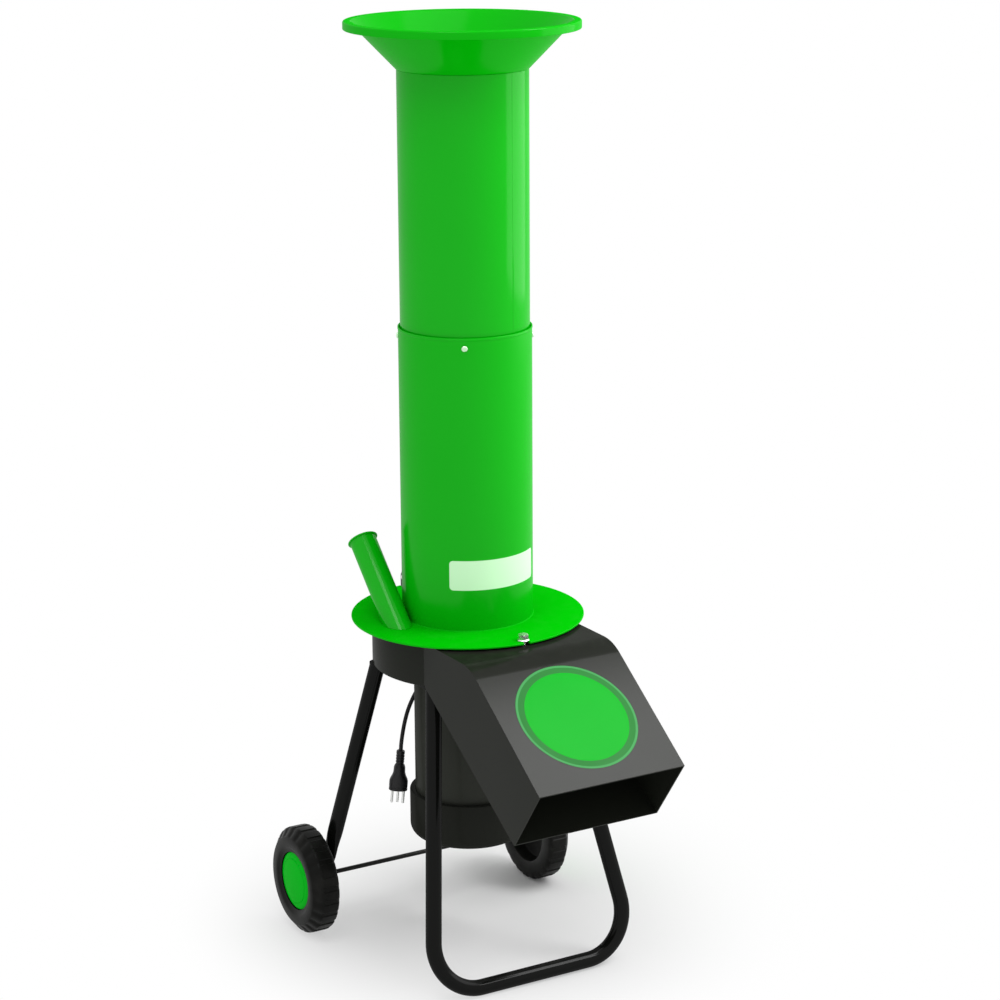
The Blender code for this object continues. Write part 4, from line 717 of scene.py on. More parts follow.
# Round label on the slope: a plain bright green disc inside a dull green border with a thin paler ring
# at its edge, printed on film and stuck on flat.
LABEL_R = 0.0845
LABEL_DISC_R = 0.0722
LABEL_RING = 0.0030
LABEL_MARGIN = 0.0004
LABEL_SIDES = 160
FILM = 0.00012
PRINT_LOW = FILM * 0.5
PRINT_HIGH = FILM * 1.4
label_centre = Vector((0.0, -0.2870, 0.0))
slope_start = Vector(bend[-1])
label_centre.z = slope_start.y - (slope_start.x - label_centre.y) * math.tan(SLOPE)
slope_pose = pointing((0, -math.sin(SLOPE), math.cos(SLOPE)), label_centre)
film_inks = []
for name, ink in (("border", (0.037, 0.205, 0.048)), ("disc", (0.0005, 0.385, 0.014)),
                  ("ring", (0.060, 0.31, 0.090))):
    film_inks.append(finish("label_%s_ink" % name, moulding, ink, coat=0.16, Gloss=0.35, Peel=0.000004,
                            Shine=0.07))
outline = [(0, 0), (LABEL_R, 0), (LABEL_R, FILM * 0.8), (LABEL_R - FILM, FILM), (0, FILM)]
disc = turned(outline, LABEL_SIDES)
piece("slope_label", posed(disc, slope_pose), "base", film_inks[0])
outline = [(0, PRINT_LOW), (LABEL_DISC_R, PRINT_LOW), (LABEL_DISC_R, PRINT_HIGH), (0, PRINT_HIGH)]
disc = turned(outline, LABEL_SIDES)
piece("slope_label_disc", posed(disc, slope_pose), "base", film_inks[1])
inner, outer = LABEL_R - LABEL_MARGIN - LABEL_RING, LABEL_R - LABEL_MARGIN
outline = [(inner, PRINT_LOW), (outer, PRINT_LOW), (outer, PRINT_HIGH), (inner, PRINT_HIGH)]
ring = turned(outline, LABEL_SIDES)
piece("slope_label_ring", posed(ring, slope_pose), "base", film_inks[2])


# Nut under the chute's roof for the closing bolt, welded on, and the lid's hinge behind the drum: two
# ears of painted sheet and a loose zinc-plated pin.
dressed("closing_nut", "base", nut_zinc, 0.0003)
bracket_paint = finish("bracket_enamel", enamel, BODY_BLACK, coat=0.2, Gloss=0.42, Shine=0.25)
dressed("hinge_bracket", "base", bracket_paint, 0.0005)
pin_zinc = finish("pin_zinc", worked, (0.80, 0.80, 0.78), metal=1.0, Gloss=0.24, Grain=500.0, Run=1.0)
dressed("hinge_pin", "base", pin_zinc, 0.0002)


# Motor: a painted steel tube that hangs under the drum, with a cast shield and a ball bearing at each
# end, the laminated stator core and its lacquered copper winding.
frame_low, frame_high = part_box("motor_housing")
FRAME_R = (frame_high.x - frame_low.x) / 2
FRAME_WALL = 0.0025
MOTOR_SIDES = 128
outline = rounded([(FRAME_R, frame_high.z), (FRAME_R, frame_low.z), (FRAME_R - FRAME_WALL, frame_low.z),
                   (FRAME_R - FRAME_WALL, frame_high.z)], 0.0006, 3)
# The motor's black is lighter than the drum's: painted light that stands in for light falling on the tube.
MOTOR_BLACK_PAINTED_LIGHTER = (0.0300, 0.0320, 0.0265)
motor_paint_painted_light = finish("motor_enamel_painted_light", enamel, MOTOR_BLACK_PAINTED_LIGHTER, coat=0.24, Gloss=0.42, Mottle=0.15, Shine=0.10,
                     Dust=0.0)
piece("motor_frame", turned(outline, MOTOR_SIDES), "base", motor_paint_painted_light, ["motor_housing"])
cast_metal = finish("cast_shield", worked, (0.42, 0.43, 0.44), metal=1.0, Gloss=0.5, Mottle=0.3, Run=1.0)
bearing_steel = finish("bearing_steel", worked, (0.55, 0.55, 0.56), metal=1.0, Gloss=0.2)
for name in ("top_shield", "bottom_shield"):
    dressed(name, "base", cast_metal, 0.0004)
for name in ("upper_bearing", "lower_bearing"):
    dressed(name, "base", bearing_steel, 0.0002)
core_steel = finish("core_steel", worked, (0.30, 0.30, 0.31), metal=1.0, Gloss=0.45, Grain=60.0, Run=40.0)
dressed("stator_core", "base", core_steel, 0.0003)
wire = finish("winding_wire", worked, (0.50, 0.22, 0.09), metal=1.0, Gloss=0.3, Grain=90.0, Run=18.0,
              Peel=0.0003)
dressed("stator_winding", "base", wire, 0.0008)


# Rotor: a ground shaft with its core and plastic fan below, and above the steel cutter disc with
# ejector paddles, two bevelled knives and the nut that holds it all.
shaft_steel = finish("shaft_steel", worked, (0.50, 0.50, 0.51), metal=1.0, Gloss=0.22, Run=30.0)
dressed("motor_shaft", "rotor", shaft_steel, 0.0003)
dressed("rotor_core", "rotor", core_steel, 0.0002)
disc_steel = finish("disc_steel", worked, (0.36, 0.36, 0.37), metal=1.0, Gloss=0.38, Mottle=0.4, Run=1.0)
dressed("cutter_disc", "rotor", disc_steel, 0.0004)
blade_steel = finish("blade_steel", worked, (0.46, 0.46, 0.47), metal=1.0, Gloss=0.28, Mottle=0.3,
                     Grain=700.0, Run=0.1)
for name in ("knife_a", "knife_b"):
    dressed(name, "rotor", blade_steel, 0.0002)
dressed("shaft_nut", "rotor", nut_zinc, 0.0005)
fan_plastic = finish("fan_moulding", moulding, (0.55, 0.56, 0.54), Gloss=0.45)
dressed("cooling_fan", "rotor", fan_plastic, 0.0003)


# Fan cowl: a deep cap of black plastic over the fan, with a flat top that closes round the motor, a
# rounded bottom edge and twelve radial vents.
cowl_low, cowl_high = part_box("fan_cowl")
COWL_R = (cowl_high.x - cowl_low.x) / 2
COWL_WALL = 0.0022
COWL_ROUND = 0.016
COWL_ROUND_STEPS = 12
VENTS = 12
VENT_HALF = 0.003
VENT_INNER_R = 0.027
VENT_OUTER_R = COWL_R - 0.025
corner = (COWL_R - COWL_ROUND, cowl_low.z + COWL_ROUND)
outline = [(0, cowl_low.z), *arc(corner, COWL_ROUND, -QUARTER, 0, COWL_ROUND_STEPS),
           (COWL_R, cowl_high.z - 0.002), (COWL_R - 0.0006, cowl_high.z - 0.0006),
           (COWL_R - 0.002, cowl_high.z), (FRAME_R + FIT, cowl_high.z),
           (FRAME_R + FIT, cowl_high.z - COWL_WALL), (COWL_R - COWL_WALL, cowl_high.z - COWL_WALL),
           *arc(corner, COWL_ROUND - COWL_WALL, 0, -QUARTER, COWL_ROUND_STEPS), (0, cowl_low.z + COWL_WALL)]
vents = []
for k in range(VENTS):
    shape = arc((VENT_OUTER_R, 0), VENT_HALF, -QUARTER, QUARTER, 6)
    shape += arc((VENT_INNER_R, 0), VENT_HALF, QUARTER, 3 * QUARTER, 6)
    vent = prism(shape, cowl_low.z - 0.005, cowl_low.z + 0.006)
    vents.append(posed(vent, Matrix.Rotation(FULL * k / VENTS, 4, "Z")))
cowl_plastic = finish("cowl_plastic", moulding, (0.0160, 0.0170, 0.0142), coat=0.25, Gloss=0.45,
                      Mottle=0.15, Grain=1100.0, Peel=0.00003, Shine=0.06)
piece("cowl", carved(turned(outline, MOTOR_SIDES), *vents), "base",
      cowl_plastic, ["fan_cowl"], angle=35)


# Bolts through the drum's floor: zinc-plated hexagon bolts, four into the motor's upper shield and
# four into the legs' tabs.
for number in (1, 2, 3, 4):
    dressed("motor_bolt_%d" % number, "base", nut_zinc, 0.0003)
    dressed("leg_bolt_%d" % number, "base", nut_zinc, 0.0003)


# Switch box: a black moulded housing behind the motor with the red rocker in its face. The motor's
# capacitor lies inside it.
box_plastic = finish("box_moulding", moulding, (0.010, 0.0105, 0.0095), coat=0.25, Gloss=0.45, Grain=1000.0,
                     Shine=0.2)
dressed("switch_box", "base", box_plastic, 0.0009)
rocker_plastic = finish("rocker_moulding", moulding, (0.45, 0.012, 0.010), Gloss=0.25, Peel=0.00001)
dressed("switch_rocker", "rocker", rocker_plastic, 0.0003)
dressed("capacitor", "base", fan_plastic, 0.0005)


# Supply cord: about 10 cm of round rubber-jacketed cord, free between the boot under the switch box
# and the plug. It hangs down under its own weight, and its upper end lies behind the motor.
box_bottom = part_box("switch_box")[0].z
gland = Vector((-0.010, 0.088, box_bottom))
HANG_TURN = math.radians(171.8)
CORD_R = 0.0029
STEPS_BETWEEN_KNOTS = 3
outward = Vector((math.cos(HANG_TURN), math.sin(HANG_TURN), 0))
# Reach out from the gland and drop under the box, the same as in the CAD.
route = [(0.0143, 0.0144), (0.0200, 0.0204), (0.0257, 0.0283), (0.0308, 0.0378), (0.0351, 0.0471),
         (0.0386, 0.0567), (0.0416, 0.0674), (0.0441, 0.0784), (0.0462, 0.0900), (0.0477, 0.1005),
         (0.0485, 0.1098)]
knots = [ONTO_AXIS @ (gland + outward * reach - Vector((0, 0, drop))) for reach, drop in route]
ends = [knots[0] * 2 - knots[1], *knots, knots[-1] * 2 - knots[-2]]
line = []
for a, b, c, d in zip(ends, ends[1:], ends[2:], ends[3:]):
    for k in range(STEPS_BETWEEN_KNOTS):
        t = k / STEPS_BETWEEN_KNOTS
        line.append(0.5 * (2 * b + (c - a) * t + (2 * a - 5 * b + 4 * c - d) * t * t
                           + (3 * b - a - 3 * c + d) * t ** 3))
line.append(knots[-1])
cord_data = bpy.data.curves.new("supply_cord", "CURVE")
cord_data.dimensions = "3D"
cord_data.bevel_depth = CORD_R
cord_data.bevel_resolution = 6
cord_data.use_fill_caps = True
spline = cord_data.splines.new("POLY")
spline.points.add(len(line) - 1)
for target, point in zip(spline.points, line):
    target.co = (*point, 1.0)
cord = added("supply_cord", cord_data)
cord_rubber = finish("cord_jacket", rubber, (0.009, 0.009, 0.010), specular=0.25, Gloss=0.5, Grain=900.0,
                     Dust=0.02)
cord_data.materials.append(cord_rubber)
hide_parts("power_cord")
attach(cord, "base")


# Strain relief: a tapered rubber boot, 20 mm long, that leaves the switch box at a slant. Moulded
# grip ribs let it bend evenly.
BOOT_LENGTH = 0.020
BOOT_BASE_R = 0.0062
BOOT_LEAN = math.radians(45)
BOOT_RIBS = 5
BOOT_RIB_PITCH = 0.0028
BOOT_RIB_DEPTH = 0.0008
boot_way = outward * math.sin(BOOT_LEAN) - Vector((0, 0, math.cos(BOOT_LEAN)))
boot_profile = [(0, -0.006), (BOOT_BASE_R, -0.006), (BOOT_BASE_R, 0.004)]
for k in range(BOOT_RIBS):
    along = 0.0052 + k * BOOT_RIB_PITCH
    rib_r = 0.0061 - 0.0022 * (along - 0.004) / 0.016
    boot_profile += [(rib_r, along), (rib_r, along + 0.0012), (rib_r - BOOT_RIB_DEPTH, along + 0.0015),
                     (rib_r - BOOT_RIB_DEPTH, along + 0.0024)]
boot_profile += [(0.0040, BOOT_LENGTH - 0.0004), (0.0036, BOOT_LENGTH), (0, BOOT_LENGTH)]
inside_box = box((-0.05, 0.05, box_bottom - FIT), (0.05, 0.13, box_bottom + 0.03))
boot_shape = carved(posed(turned(boot_profile, 32), pointing(boot_way, gland)), inside_box)
boot_rubber = finish("boot_rubber", rubber, (0.009, 0.009, 0.010), specular=0.25, Gloss=0.5, Grain=1100.0)
boot = piece("strain_relief", boot_shape, "base", boot_rubber, ["cord_boot"])


# Plug: moulded on the cord's end from the same black rubber, with a ribbed round neck, a flared
# grip and a flat oval body. It holds three plated brass pins.
PLUG_LENGTH = 0.060
PLUG_NECK_R = 0.0061
PLUG_HALF_WIDE = 0.0133
PLUG_HALF_DEEP = 0.0085
PLUG_LEAN = math.radians(5.0)
PLUG_TURN = math.radians(-30.0)
PLUG_RIBS = 4
PLUG_SIDES = 40
down = Vector((0, 0, -1))
hang = down * math.cos(PLUG_LEAN) + outward * math.sin(PLUG_LEAN)
plug_pose = (Matrix.Translation(knots[-1]) @ down.rotation_difference(hang).to_matrix().to_4x4()
             @ Matrix.Rotation(PLUG_TURN, 4, "Z"))
neck = PLUG_NECK_R
# Each ring is a share of the plug's length from the cord, half its width and half its depth.
plug_shape = [(0.0, neck * 0.78, neck * 0.78), (0.006, neck * 0.9, neck * 0.9),
              (0.02, neck * 0.98, neck * 0.98)]
for k in range(PLUG_RIBS):
    share = 0.05 + k * 0.07
    plug_shape += [(share, neck, neck), (share + 0.035, neck, neck),
                   (share + 0.042, neck * 0.87, neck * 0.87), (share + 0.062, neck * 0.87, neck * 0.87)]
wide, deep = PLUG_HALF_WIDE, PLUG_HALF_DEEP
plug_shape += [(0.335, neck, neck), (0.385, neck * 1.25, neck * 1.22), (0.42, neck * 1.34, neck * 1.3),
               (0.54, neck * 1.4, neck * 1.33), (0.62, wide * 0.74, deep * 0.96), (0.70, wide * 0.92, deep),
               (0.76, wide, deep), (0.90, wide, deep), (0.906, wide - 0.0005, deep - 0.0005),
               (0.93, wide - 0.0005, deep - 0.0005), (0.936, wide, deep), (0.985, wide, deep),
               (1.0, wide - 0.001, deep - 0.001)]
plug_rings = []
for share, half_wide, half_deep in plug_shape:
    squareness = 0.8 if share > 0.6 else 1.0
    ring = []
    for k in range(PLUG_SIDES):
        cosine, sine = math.cos(FULL * k / PLUG_SIDES), math.sin(FULL * k / PLUG_SIDES)
        ring.append(plug_pose @ Vector((half_wide * squared(cosine, squareness),
                                        half_deep * squared(sine, squareness), -FIT - PLUG_LENGTH * share)))
    plug_rings.append(ring)
plug_rubber = finish("plug_rubber", rubber, (0.009, 0.009, 0.010), specular=0.3, Gloss=0.42, Grain=1400.0,
                     Dust=0.02)
plug = piece("mains_plug", lofted(plug_rings), "base", plug_rubber, ["plug_body"],
             about=Matrix())
pin_metal = finish("pin_plating", worked, (0.92, 0.93, 0.91), metal=1.0, Gloss=0.35, Mottle=0.15)
PIN_R = 0.002
PIN_LENGTH = 0.019
PIN_SPACING = 0.0080
PIN_SIDES = 24
face = -PLUG_LENGTH - 2 * FIT
tip = face - PIN_LENGTH
outline = [(0, tip), (PIN_R * 0.6, tip), (PIN_R * 0.9, tip + 0.0006), (PIN_R, tip + 0.0018), (PIN_R, face),
           (0, face)]
for number, (across, depth) in enumerate(((-PIN_SPACING, 0), (0, 0.003), (PIN_SPACING, 0)), start=1):
    pin_pose = plug_pose @ Matrix.Translation((across, depth, 0))
    piece("mains_pin_%d" % number, turned(outline, PIN_SIDES), "base",
                      pin_metal, ["plug_pin_%d" % number], about=pin_pose)


# Lid: a flat round plate of 3 mm sheet, enamelled bright green. It is cut out for the feed tube's
# throat, the branch tube, the closing bolt's open slot and the hinge.
lid_low, lid_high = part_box("lid_plate")
lower_low, lower_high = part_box("lower_feed_tube")
LID_R = (lid_high.x - lid_low.x) / 2
LOWER_R = (lower_high.x - lower_low.x) / 2
TUBE_WALL = 0.002
BRANCH_R = 0.01875
BRANCH_BORE_R = 0.01675
BRANCH_X = -0.1116
HINGE_NOTCH_HALF = 0.0203
HINGE_NOTCH_Y = 0.1463
outline = rounded([(LID_R, lid_high.z), (LID_R, lid_low.z), (LOWER_R - TUBE_WALL, lid_low.z),
                   (LOWER_R - TUBE_WALL, lid_high.z)], [0.0011, 0.0011, 0.0005, 0.0005], 4)
branch_way = Vector((0, math.sin(math.radians(45)), math.cos(math.radians(45))))
branch_foot = (BRANCH_X, 0, lid_high.z)
branch_hole = turned([(0, -0.02), (BRANCH_BORE_R, -0.02), (BRANCH_BORE_R, 0.02), (0, 0.02)], 48)
slot_outline = [(-BOLT_SLOT_R, -0.19), (BOLT_SLOT_R, -0.19)]
slot_outline += arc((bolt_place.x, bolt_place.y), BOLT_SLOT_R, 0, math.pi, 12)
below, above = lid_low.z - 0.01, lid_high.z + 0.01
lid_shape = carved(turned(outline, DRUM_SIDES), posed(branch_hole, pointing(branch_way, branch_foot)),
                   prism(slot_outline, below, above),
                   box((-HINGE_NOTCH_HALF, HINGE_NOTCH_Y, below), (HINGE_NOTCH_HALF, 0.19, above)))
lid_paint = finish("lid_enamel", enamel, (0.0005, 0.44, 0.0015), coat=0.25, Gloss=0.45, Mottle=0.05,
                   Shine=0.12, Dulled=0.97, Dust=0.006)
piece("lid", lid_shape, "lid", lid_paint, ["lid_plate"], angle=40)


# Lower feed tube: a rolled and welded sheet tube that stands on the lid. A small painted weld bead
# with the ripples of a hand weld joins its foot to the lid, and its top edge is turned over.
GREEN = (0.0015, 0.41, 0.0035)
TUBE_SIDES = 160
outline = [(LOWER_R - TUBE_WALL, lower_low.z), (LOWER_R, lower_low.z), (LOWER_R, lower_high.z - 0.004),
           (LOWER_R + 0.0006, lower_high.z - 0.003), (LOWER_R + 0.0006, lower_high.z),
           (LOWER_R - TUBE_WALL, lower_high.z)]
outline = rounded(outline, [0.0, 0.0004, 0.0015, 0.0008, 0.0009, 0.0009], 4)
lower_paint = finish("lower_tube_enamel", enamel, GREEN, coat=0.20, Gloss=0.3, Mottle=0.05, Shine=0.28,
                     Dust=0.0)
piece("lower_tube", turned(outline, TUBE_SIDES), "lid", lower_paint, ["lower_feed_tube"])
WELD = 0.0016
WELD_STEPS = 300
WELD_STRIPS = 5
WELD_ROOT = 0.0002
weld = bmesh.new()
weld_rings = []
for k in range(WELD_STEPS):
    angle = FULL * k / WELD_STEPS
    size = WELD * (1.0 + 0.10 * math.sin(angle * 96) + 0.06 * math.sin(angle * 31 + 1.0))
    ring = []
    for j in range(WELD_STRIPS + 1):
        slant = QUARTER * j / WELD_STRIPS
        out = LOWER_R + size * (1 - math.sin(slant)) - (WELD_ROOT if j == WELD_STRIPS else 0.0)
        height = lid_high.z + size * (1 - math.cos(slant)) - (0.0 if j else WELD_ROOT)
        ring.append(weld.verts.new((out * math.cos(angle), out * math.sin(angle), height)))
    weld_rings.append(ring)
for a, b in zip(weld_rings, weld_rings[1:] + weld_rings[:1]):
    for j in range(WELD_STRIPS):
        weld.faces.new((a[j], a[j + 1], b[j + 1], b[j]))
weld_paint = finish("weld_enamel", enamel, GREEN, coat=0.3, Gloss=0.5, Mottle=0.1, Shine=0.03)
piece("tube_foot_weld", weld, "lid", weld_paint, angle=80)


# Blank label on the lower tube: a pale rectangle of plastic film with rounded corners. It is stuck
# round the tube's front. Its white is tinted green, as painted light thrown off the green tube round it.
PLATE_HALF = 0.0715
PLATE_LOW = 0.5435
PLATE_HIGH = 0.5850
PLATE_CORNER = 0.005
PLATE_STEPS = 60
PLATE_SUNK = 0.0001
plate_middle = (PLATE_LOW + PLATE_HIGH) / 2
plate_rings = []
for k in range(PLATE_STEPS + 1):
    along = -PLATE_HALF * math.cos(math.pi * k / PLATE_STEPS)
    inset = max(PLATE_CORNER - (PLATE_HALF - abs(along)), 0.0)
    half = (PLATE_HIGH - PLATE_LOW) / 2 - PLATE_CORNER + math.sqrt(max(PLATE_CORNER ** 2 - inset ** 2, 0.0))
    turn = -QUARTER + along / LOWER_R
    edges = ((LOWER_R - PLATE_SUNK, -1), (LOWER_R + FILM, -1), (LOWER_R + FILM, 1), (LOWER_R - PLATE_SUNK, 1))
    plate_rings.append([Vector((radius * math.cos(turn), radius * math.sin(turn), plate_middle + half * up))
                        for radius, up in edges])
# The film's white is tinted green: painted light from the green tube round it.
plate_film_painted_green_light = finish("blank_label_film_painted_green_light", moulding, (0.61, 0.95, 0.60), coat=0.2, Gloss=0.35, Mottle=0.03,
                    Peel=0.000004, Shine=0.06)
piece("blank_label", lofted(plate_rings), "lid", plate_film_painted_green_light, angle=40)


# Upper feed tube: a slightly narrower rolled tube that slides into the lower one. Its lap seam runs
# down the front as a thin raised line.
UPPER_R = (tube_high.x - tube_low.x) / 2
outline = rounded([(UPPER_R, tube_high.z), (UPPER_R, tube_low.z), (UPPER_R - TUBE_WALL, tube_low.z),
                   (UPPER_R - TUBE_WALL, tube_high.z)], 0.0006, 3)
upper_paint = finish("upper_tube_enamel", enamel, GREEN, coat=0.13, Gloss=0.28, Mottle=0.05, Shine=0.33,
                     Dust=0.0)
piece("upper_tube", turned(outline, TUBE_SIDES), "lid", upper_paint, ["upper_feed_tube"])
SEAM_TURN = math.radians(-72.4)
SEAM_HALF = 0.0012
SEAM_LIFT = 0.00025
SEAM_ROOT = -0.0004
seam_foot = lower_high.z + 0.0005
rows = []
for height, lift in ((seam_foot, 0.0), (seam_foot + 0.0005, SEAM_LIFT), (tube_high.z - 0.0012, SEAM_LIFT),
                     (tube_high.z - 0.0006, 0.0)):
    row = []
    for across, out in ((-SEAM_HALF, SEAM_ROOT), (-SEAM_HALF * 0.8, lift * 0.6), (0.0, lift),
                        (SEAM_HALF * 0.8, lift * 0.6), (SEAM_HALF, SEAM_ROOT)):
        angle = SEAM_TURN + across / UPPER_R
        row.append(Vector(((UPPER_R + out) * math.cos(angle), (UPPER_R + out) * math.sin(angle), height)))
    rows.append(row)
piece("upper_tube_seam", lofted(rows), "lid", upper_paint)


# Tube screws: four short pan-head screws with a cross recess, through both tubes, that hold the upper
# tube at its height. Their bright zinc is tinted green, a painted reflection of the green tubes around them.
SCREW_R = 0.0024
SCREW_HEAD_R = 0.0043
SCREW_TIP = 0.084
CROSS_HALF = 0.00042
CROSS_REACH = 0.0022
# The zinc's green tint is a painted reflection of the green tubes round the screws.
screw_zinc_painted_green_reflection = finish("screw_zinc_painted_green_reflection", worked, (0.62, 0.90, 0.60), metal=1.0, Gloss=0.22, Mottle=0.2,
                    Grain=500.0, Run=1.0)
for number in (1, 2, 3, 4):
    node = "tube_screw_%d" % number
    place = middle_of(node)
    seat = LOWER_R + FIT
    head = [(0, SCREW_TIP), (0.0020, SCREW_TIP), (SCREW_R, SCREW_TIP + 0.0006), (SCREW_R, seat),
            (SCREW_HEAD_R, seat), (SCREW_HEAD_R, seat + 0.0006), (0.0038, seat + 0.0014),
            (0.0026, seat + 0.0020), (0, seat + 0.0022)]
    low, high = seat + 0.0011, seat + 0.004
    recess = [box((-wide, -tall, low), (wide, tall, high))
              for wide, tall in ((CROSS_REACH, CROSS_HALF), (CROSS_HALF, CROSS_REACH))]
    screw = carved(turned(head, 32), *recess)
    pose = pointing((place.x, place.y, 0), (0, 0, place.z))
    piece("pan_screw_%d" % number, posed(screw, pose), "lid", screw_zinc_painted_green_reflection, [node], angle=40)


# Feed funnel: a spun sheet cone with a flat rim whose outer edge is turned down. Its short spigot
# sits inside the upper tube.
funnel_low, funnel_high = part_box("feed_funnel")
RIM_R = (funnel_high.x - funnel_low.x) / 2
rim_z = funnel_high.z
CONE_TOP_R = 0.148
LIP_DEPTH = 0.011
SPIGOT = 0.016
spigot_r = UPPER_R - TUBE_WALL - FIT
seat_z = tube_high.z + FIT
slant = TUBE_WALL * 1.4
outline = [(spigot_r, seat_z - SPIGOT), (spigot_r, seat_z), (UPPER_R + 0.0012, seat_z),
           (CONE_TOP_R, rim_z - TUBE_WALL), (RIM_R - TUBE_WALL, rim_z - TUBE_WALL),
           (RIM_R - TUBE_WALL, rim_z - LIP_DEPTH), (RIM_R, rim_z - LIP_DEPTH), (RIM_R, rim_z),
           (CONE_TOP_R + TUBE_WALL - slant, rim_z), (spigot_r - TUBE_WALL, seat_z - slant),
           (spigot_r - TUBE_WALL, seat_z - SPIGOT)]
outline = rounded(outline,
                  [0.0005, 0.0, 0.0005, 0.002, 0.0010, 0.00095, 0.00095, 0.0024, 0.004, 0.003, 0.0005], 5)
funnel_paint = finish("funnel_enamel", enamel, (0.001, 0.41, 0.002), coat=0.12, Gloss=0.3, Mottle=0.05,
                      Shine=0.17, Dust=0.01)
piece("funnel", turned(outline, TUBE_SIDES), "lid", funnel_paint, ["feed_funnel"])


# Branch tube: a thin leaning tube with a rolled collar, welded over its own hole in the lid. Thin
# branches go in here, straight onto the knives.
BRANCH_LENGTH = 0.138
COLLAR_R = 0.0215
COLLAR = 0.0022
outline = rounded([(BRANCH_BORE_R, -0.04), (BRANCH_R, -0.04), (BRANCH_R, BRANCH_LENGTH - COLLAR),
                   (COLLAR_R, BRANCH_LENGTH - COLLAR), (COLLAR_R, BRANCH_LENGTH),
                   (BRANCH_BORE_R, BRANCH_LENGTH)], [0, 0, 0.0008, 0.0009, 0.0009, 0.0008], 4)
under_lid = box((-0.25, -0.12, 0.36), (0.0, 0.12, lid_high.z + FIT))
branch = carved(posed(turned(outline, 64), pointing(branch_way, branch_foot)),
                under_lid)
branch_paint = finish("branch_enamel", enamel, GREEN, coat=0.10, Gloss=0.28, Mottle=0.05, Shine=0.40,
                      Dulled=0.0)
piece("branch_feed_tube", branch, "lid", branch_paint, ["branch_tube"], angle=40)


# Hinge strap and counter knife: a painted strap with a rolled eye is welded behind on the lid. Under
# the lid a ground steel blade meets the knives.
strap_paint = finish("strap_enamel", enamel, GREEN, coat=0.2, Gloss=0.32, Shine=0.2, Dulled=0.5)
dressed("lid_knuckle", "lid", strap_paint, 0.0005)
dressed("counter_knife", "lid", blade_steel, 0.0002)


# Closing bolt: a zinc-plated M8 flange bolt with a chamfered hexagon head and rolled thread. It is
# screwed through the lid's open slot into the nut under the chute's roof.
BOLT_R = 0.004
THREAD_ROOT_R = 0.0036
THREAD_PITCH = 0.00125
THREAD_TURNS = 7
FLANGE_R = 0.0085
HEX_CORNER_R = 0.0075
HEX_TURN = 0.2
seat = lid_high.z + FIT
shank_tip = bolt_low.z
shank = [(0, shank_tip), (0.0032, shank_tip), (THREAD_ROOT_R, shank_tip + 0.0005)]
for k in range(THREAD_TURNS):
    height = shank_tip + 0.001 + k * THREAD_PITCH
    shank += [(THREAD_ROOT_R, height), (BOLT_R, height + THREAD_PITCH / 2)]
shank += [(0.0038, seat - 0.0015), (BOLT_R, seat), (FLANGE_R, seat), (FLANGE_R, seat + 0.0006),
          (0.0080, seat + 0.0013), (0.0070, seat + 0.0018), (0, seat + 0.0018)]
hexagon = arc((0, 0), HEX_CORNER_R, HEX_TURN, HEX_TURN + FULL * 5 / 6, 5)
crown_z = bolt_high.z
outline = [(0, seat), (0.0088, seat), (0.0088, crown_z - 0.0015), (0.0068, crown_z), (0, crown_z)]
crown = turned(outline, 48)
head = carved(prism(hexagon, seat + 0.001, crown_z), crown, operation="INTERSECT")
bolt_shape = carved(turned(shank, 40), head, operation="UNION")
bolt_zinc = finish("bolt_zinc", worked, (0.82, 0.82, 0.80), metal=1.0, Gloss=0.26, Grain=420.0, Run=1.0)
piece("lid_bolt_head", posed(bolt_shape, Matrix.Translation((bolt_place.x, bolt_place.y, 0))), "lid_bolt",
      bolt_zinc, ["closing_bolt"], angle=30)


# Floor: a pale matt ground that keeps the machine's shadow. To the camera, to reflections and to views
# through glass it is also painted darker near the machine, as a painted shadow round it. Further off it gives
# way to plain white, for the camera, for reflections and for views through glass.
def in_view(tree):
    """One on a ray from the camera, from a reflection or through glass, and zero on any other."""
    looking = tree.nodes.new("ShaderNodeLightPath")
    seen = sums(tree, "MAXIMUM", looking.outputs["Is Camera Ray"], looking.outputs["Is Glossy Ray"])
    return sums(tree, "MAXIMUM", seen, looking.outputs["Is Transmission Ray"])


FLOOR_HALF = 30
floor_shape = bmesh.new()
corners = [(x * FLOOR_HALF, y * FLOOR_HALF, 0) for x, y in ((-1, -1), (1, -1), (1, 1), (-1, 1))]
floor_shape.faces.new([floor_shape.verts.new(corner) for corner in corners])
floor_mesh = bpy.data.meshes.new("floor")
floor_shape.to_mesh(floor_mesh)
floor = added("floor", floor_mesh)
ground = bpy.data.materials.new("floor")
ground.use_nodes = True
tree = ground.node_tree
shader = tree.nodes["Principled BSDF"]
shader.inputs["Roughness"].default_value = 0.6
shader.inputs["Specular IOR Level"].default_value = 0.0
where = tree.nodes.new("ShaderNodeTexCoord")
distance = tree.nodes.new("ShaderNodeVectorMath")
distance.operation = "DISTANCE"
distance.inputs[1].default_value = (0.10, 0.15, 0)
tree.links.new(where.outputs["Object"], distance.inputs[0])
painted_shadow_fade = ramp(tree, distance.outputs["Value"], 0.08, 0.50)
seen = in_view(tree)
white = tree.nodes.new("ShaderNodeEmission")
white.inputs["Color"].default_value = (1, 1, 1, 1)
blend = tree.nodes.new("ShaderNodeMixShader")
plain = tree.nodes.new("ShaderNodeRGB")
plain.outputs[0].default_value = (0.90, 0.90, 0.90, 1)
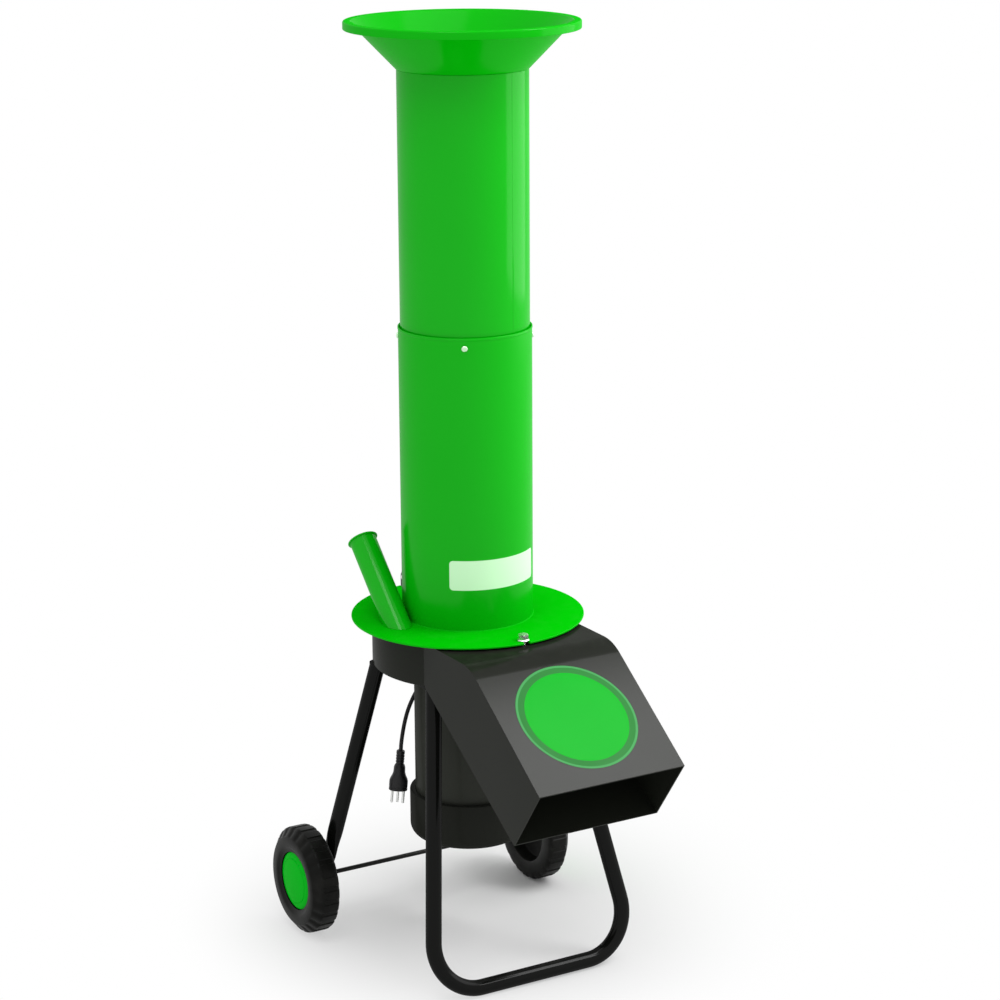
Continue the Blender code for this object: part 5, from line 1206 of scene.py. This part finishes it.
# The camera, reflections and glass see the floor at 0.66 and not 0.90 near the machine: a painted shadow,
# faded out by distance.
tree.links.new(tinted(tree, seen, plain.outputs[0], (0.66, 0.66, 0.66)), shader.inputs["Base Color"])
tree.links.new(sums(tree, "MULTIPLY", painted_shadow_fade, seen), blend.inputs[0])
tree.links.new(shader.outputs[0], blend.inputs[1])
tree.links.new(white.outputs[0], blend.inputs[2])
tree.links.new(blend.outputs[0], tree.nodes["Material Output"].inputs["Surface"])
floor_mesh.materials.append(ground)


# World: plain soft studio light on the object, and white where the camera, a reflection or a view
# through glass sees it.
world = bpy.data.worlds.new("world")
bpy.context.scene.world = world
world.use_nodes = True
tree = world.node_tree
soft = tree.nodes["Background"]
soft.inputs["Color"].default_value = (0.82, 0.82, 0.82, 1)
backdrop = tree.nodes.new("ShaderNodeBackground")
backdrop.inputs["Color"].default_value = (1, 1, 1, 1)
blend = tree.nodes.new("ShaderNodeMixShader")
tree.links.new(in_view(tree), blend.inputs[0])
tree.links.new(soft.outputs[0], blend.inputs[1])
tree.links.new(backdrop.outputs[0], blend.inputs[2])
tree.links.new(blend.outputs[0], tree.nodes["World Output"].inputs["Surface"])


# Lamps: a tall softbox on the right that draws the bright line down the tubes, and softboxes overhead
# for the chute's slope, the legs' lower bar, the funnel and the machine's left side.
for name, place, aim, wide, tall, power in (
    ("right_strip", (1.81, -0.385, 1.35), (0.0, 0.0, 1.35), 1.9, 1.8, 23.5),
    ("slope_softbox", (1.28, -0.47, 2.66), (1.28, -0.47, 0.0), 0.9, 0.55, 16.0),
    ("front_softbox", (1.6, -1.45, 2.6), (1.6, -1.45, 0.0), 0.7, 1.2, 27.0),
    ("funnel_softbox", (0.35, 0.03, 2.2), (0.35, 0.03, 0.0), 0.7, 0.35, 1.2),
    ("left_softbox", (-0.80, -0.55, 2.6), (-0.80, -0.55, 0.0), 0.9, 0.9, 10.0),
):
    lamp = bpy.data.lights.new(name, "AREA")
    lamp.shape = "RECTANGLE"
    lamp.size = wide
    lamp.size_y = tall
    lamp.energy = power
    holder = added(name, lamp)
    holder.location = place
    holder.rotation_euler = (Vector(aim) - Vector(place)).to_track_quat("-Z", "Y").to_euler()
bpy.context.scene.view_settings.view_transform = "Standard"


# Camera: at the photograph's viewing angle, which was found from points of the photo. It stands about
# 3.9 m away and has a long lens.
HEADING = math.radians(30.36)
PITCH = math.radians(15.24)
ROLL = math.radians(-0.35)
forward = Vector((math.sin(HEADING) * math.cos(PITCH), math.cos(HEADING) * math.cos(PITCH), -math.sin(PITCH)))
level = Vector((math.cos(HEADING), -math.sin(HEADING), 0))
upright = level.cross(forward)
right = level * math.cos(ROLL) + upright * math.sin(ROLL)
up = upright * math.cos(ROLL) - level * math.sin(ROLL)
camera = added("camera", bpy.data.cameras.new("camera"))
camera.matrix_world = Matrix((right, up, -forward)).transposed().to_4x4()
camera.location = (-1.8309, AXIS_Y - 3.2165, 1.654)
camera.data.sensor_width = 36.0
camera.data.lens = 100.45
camera.data.clip_end = 60
bpy.context.scene.camera = camera
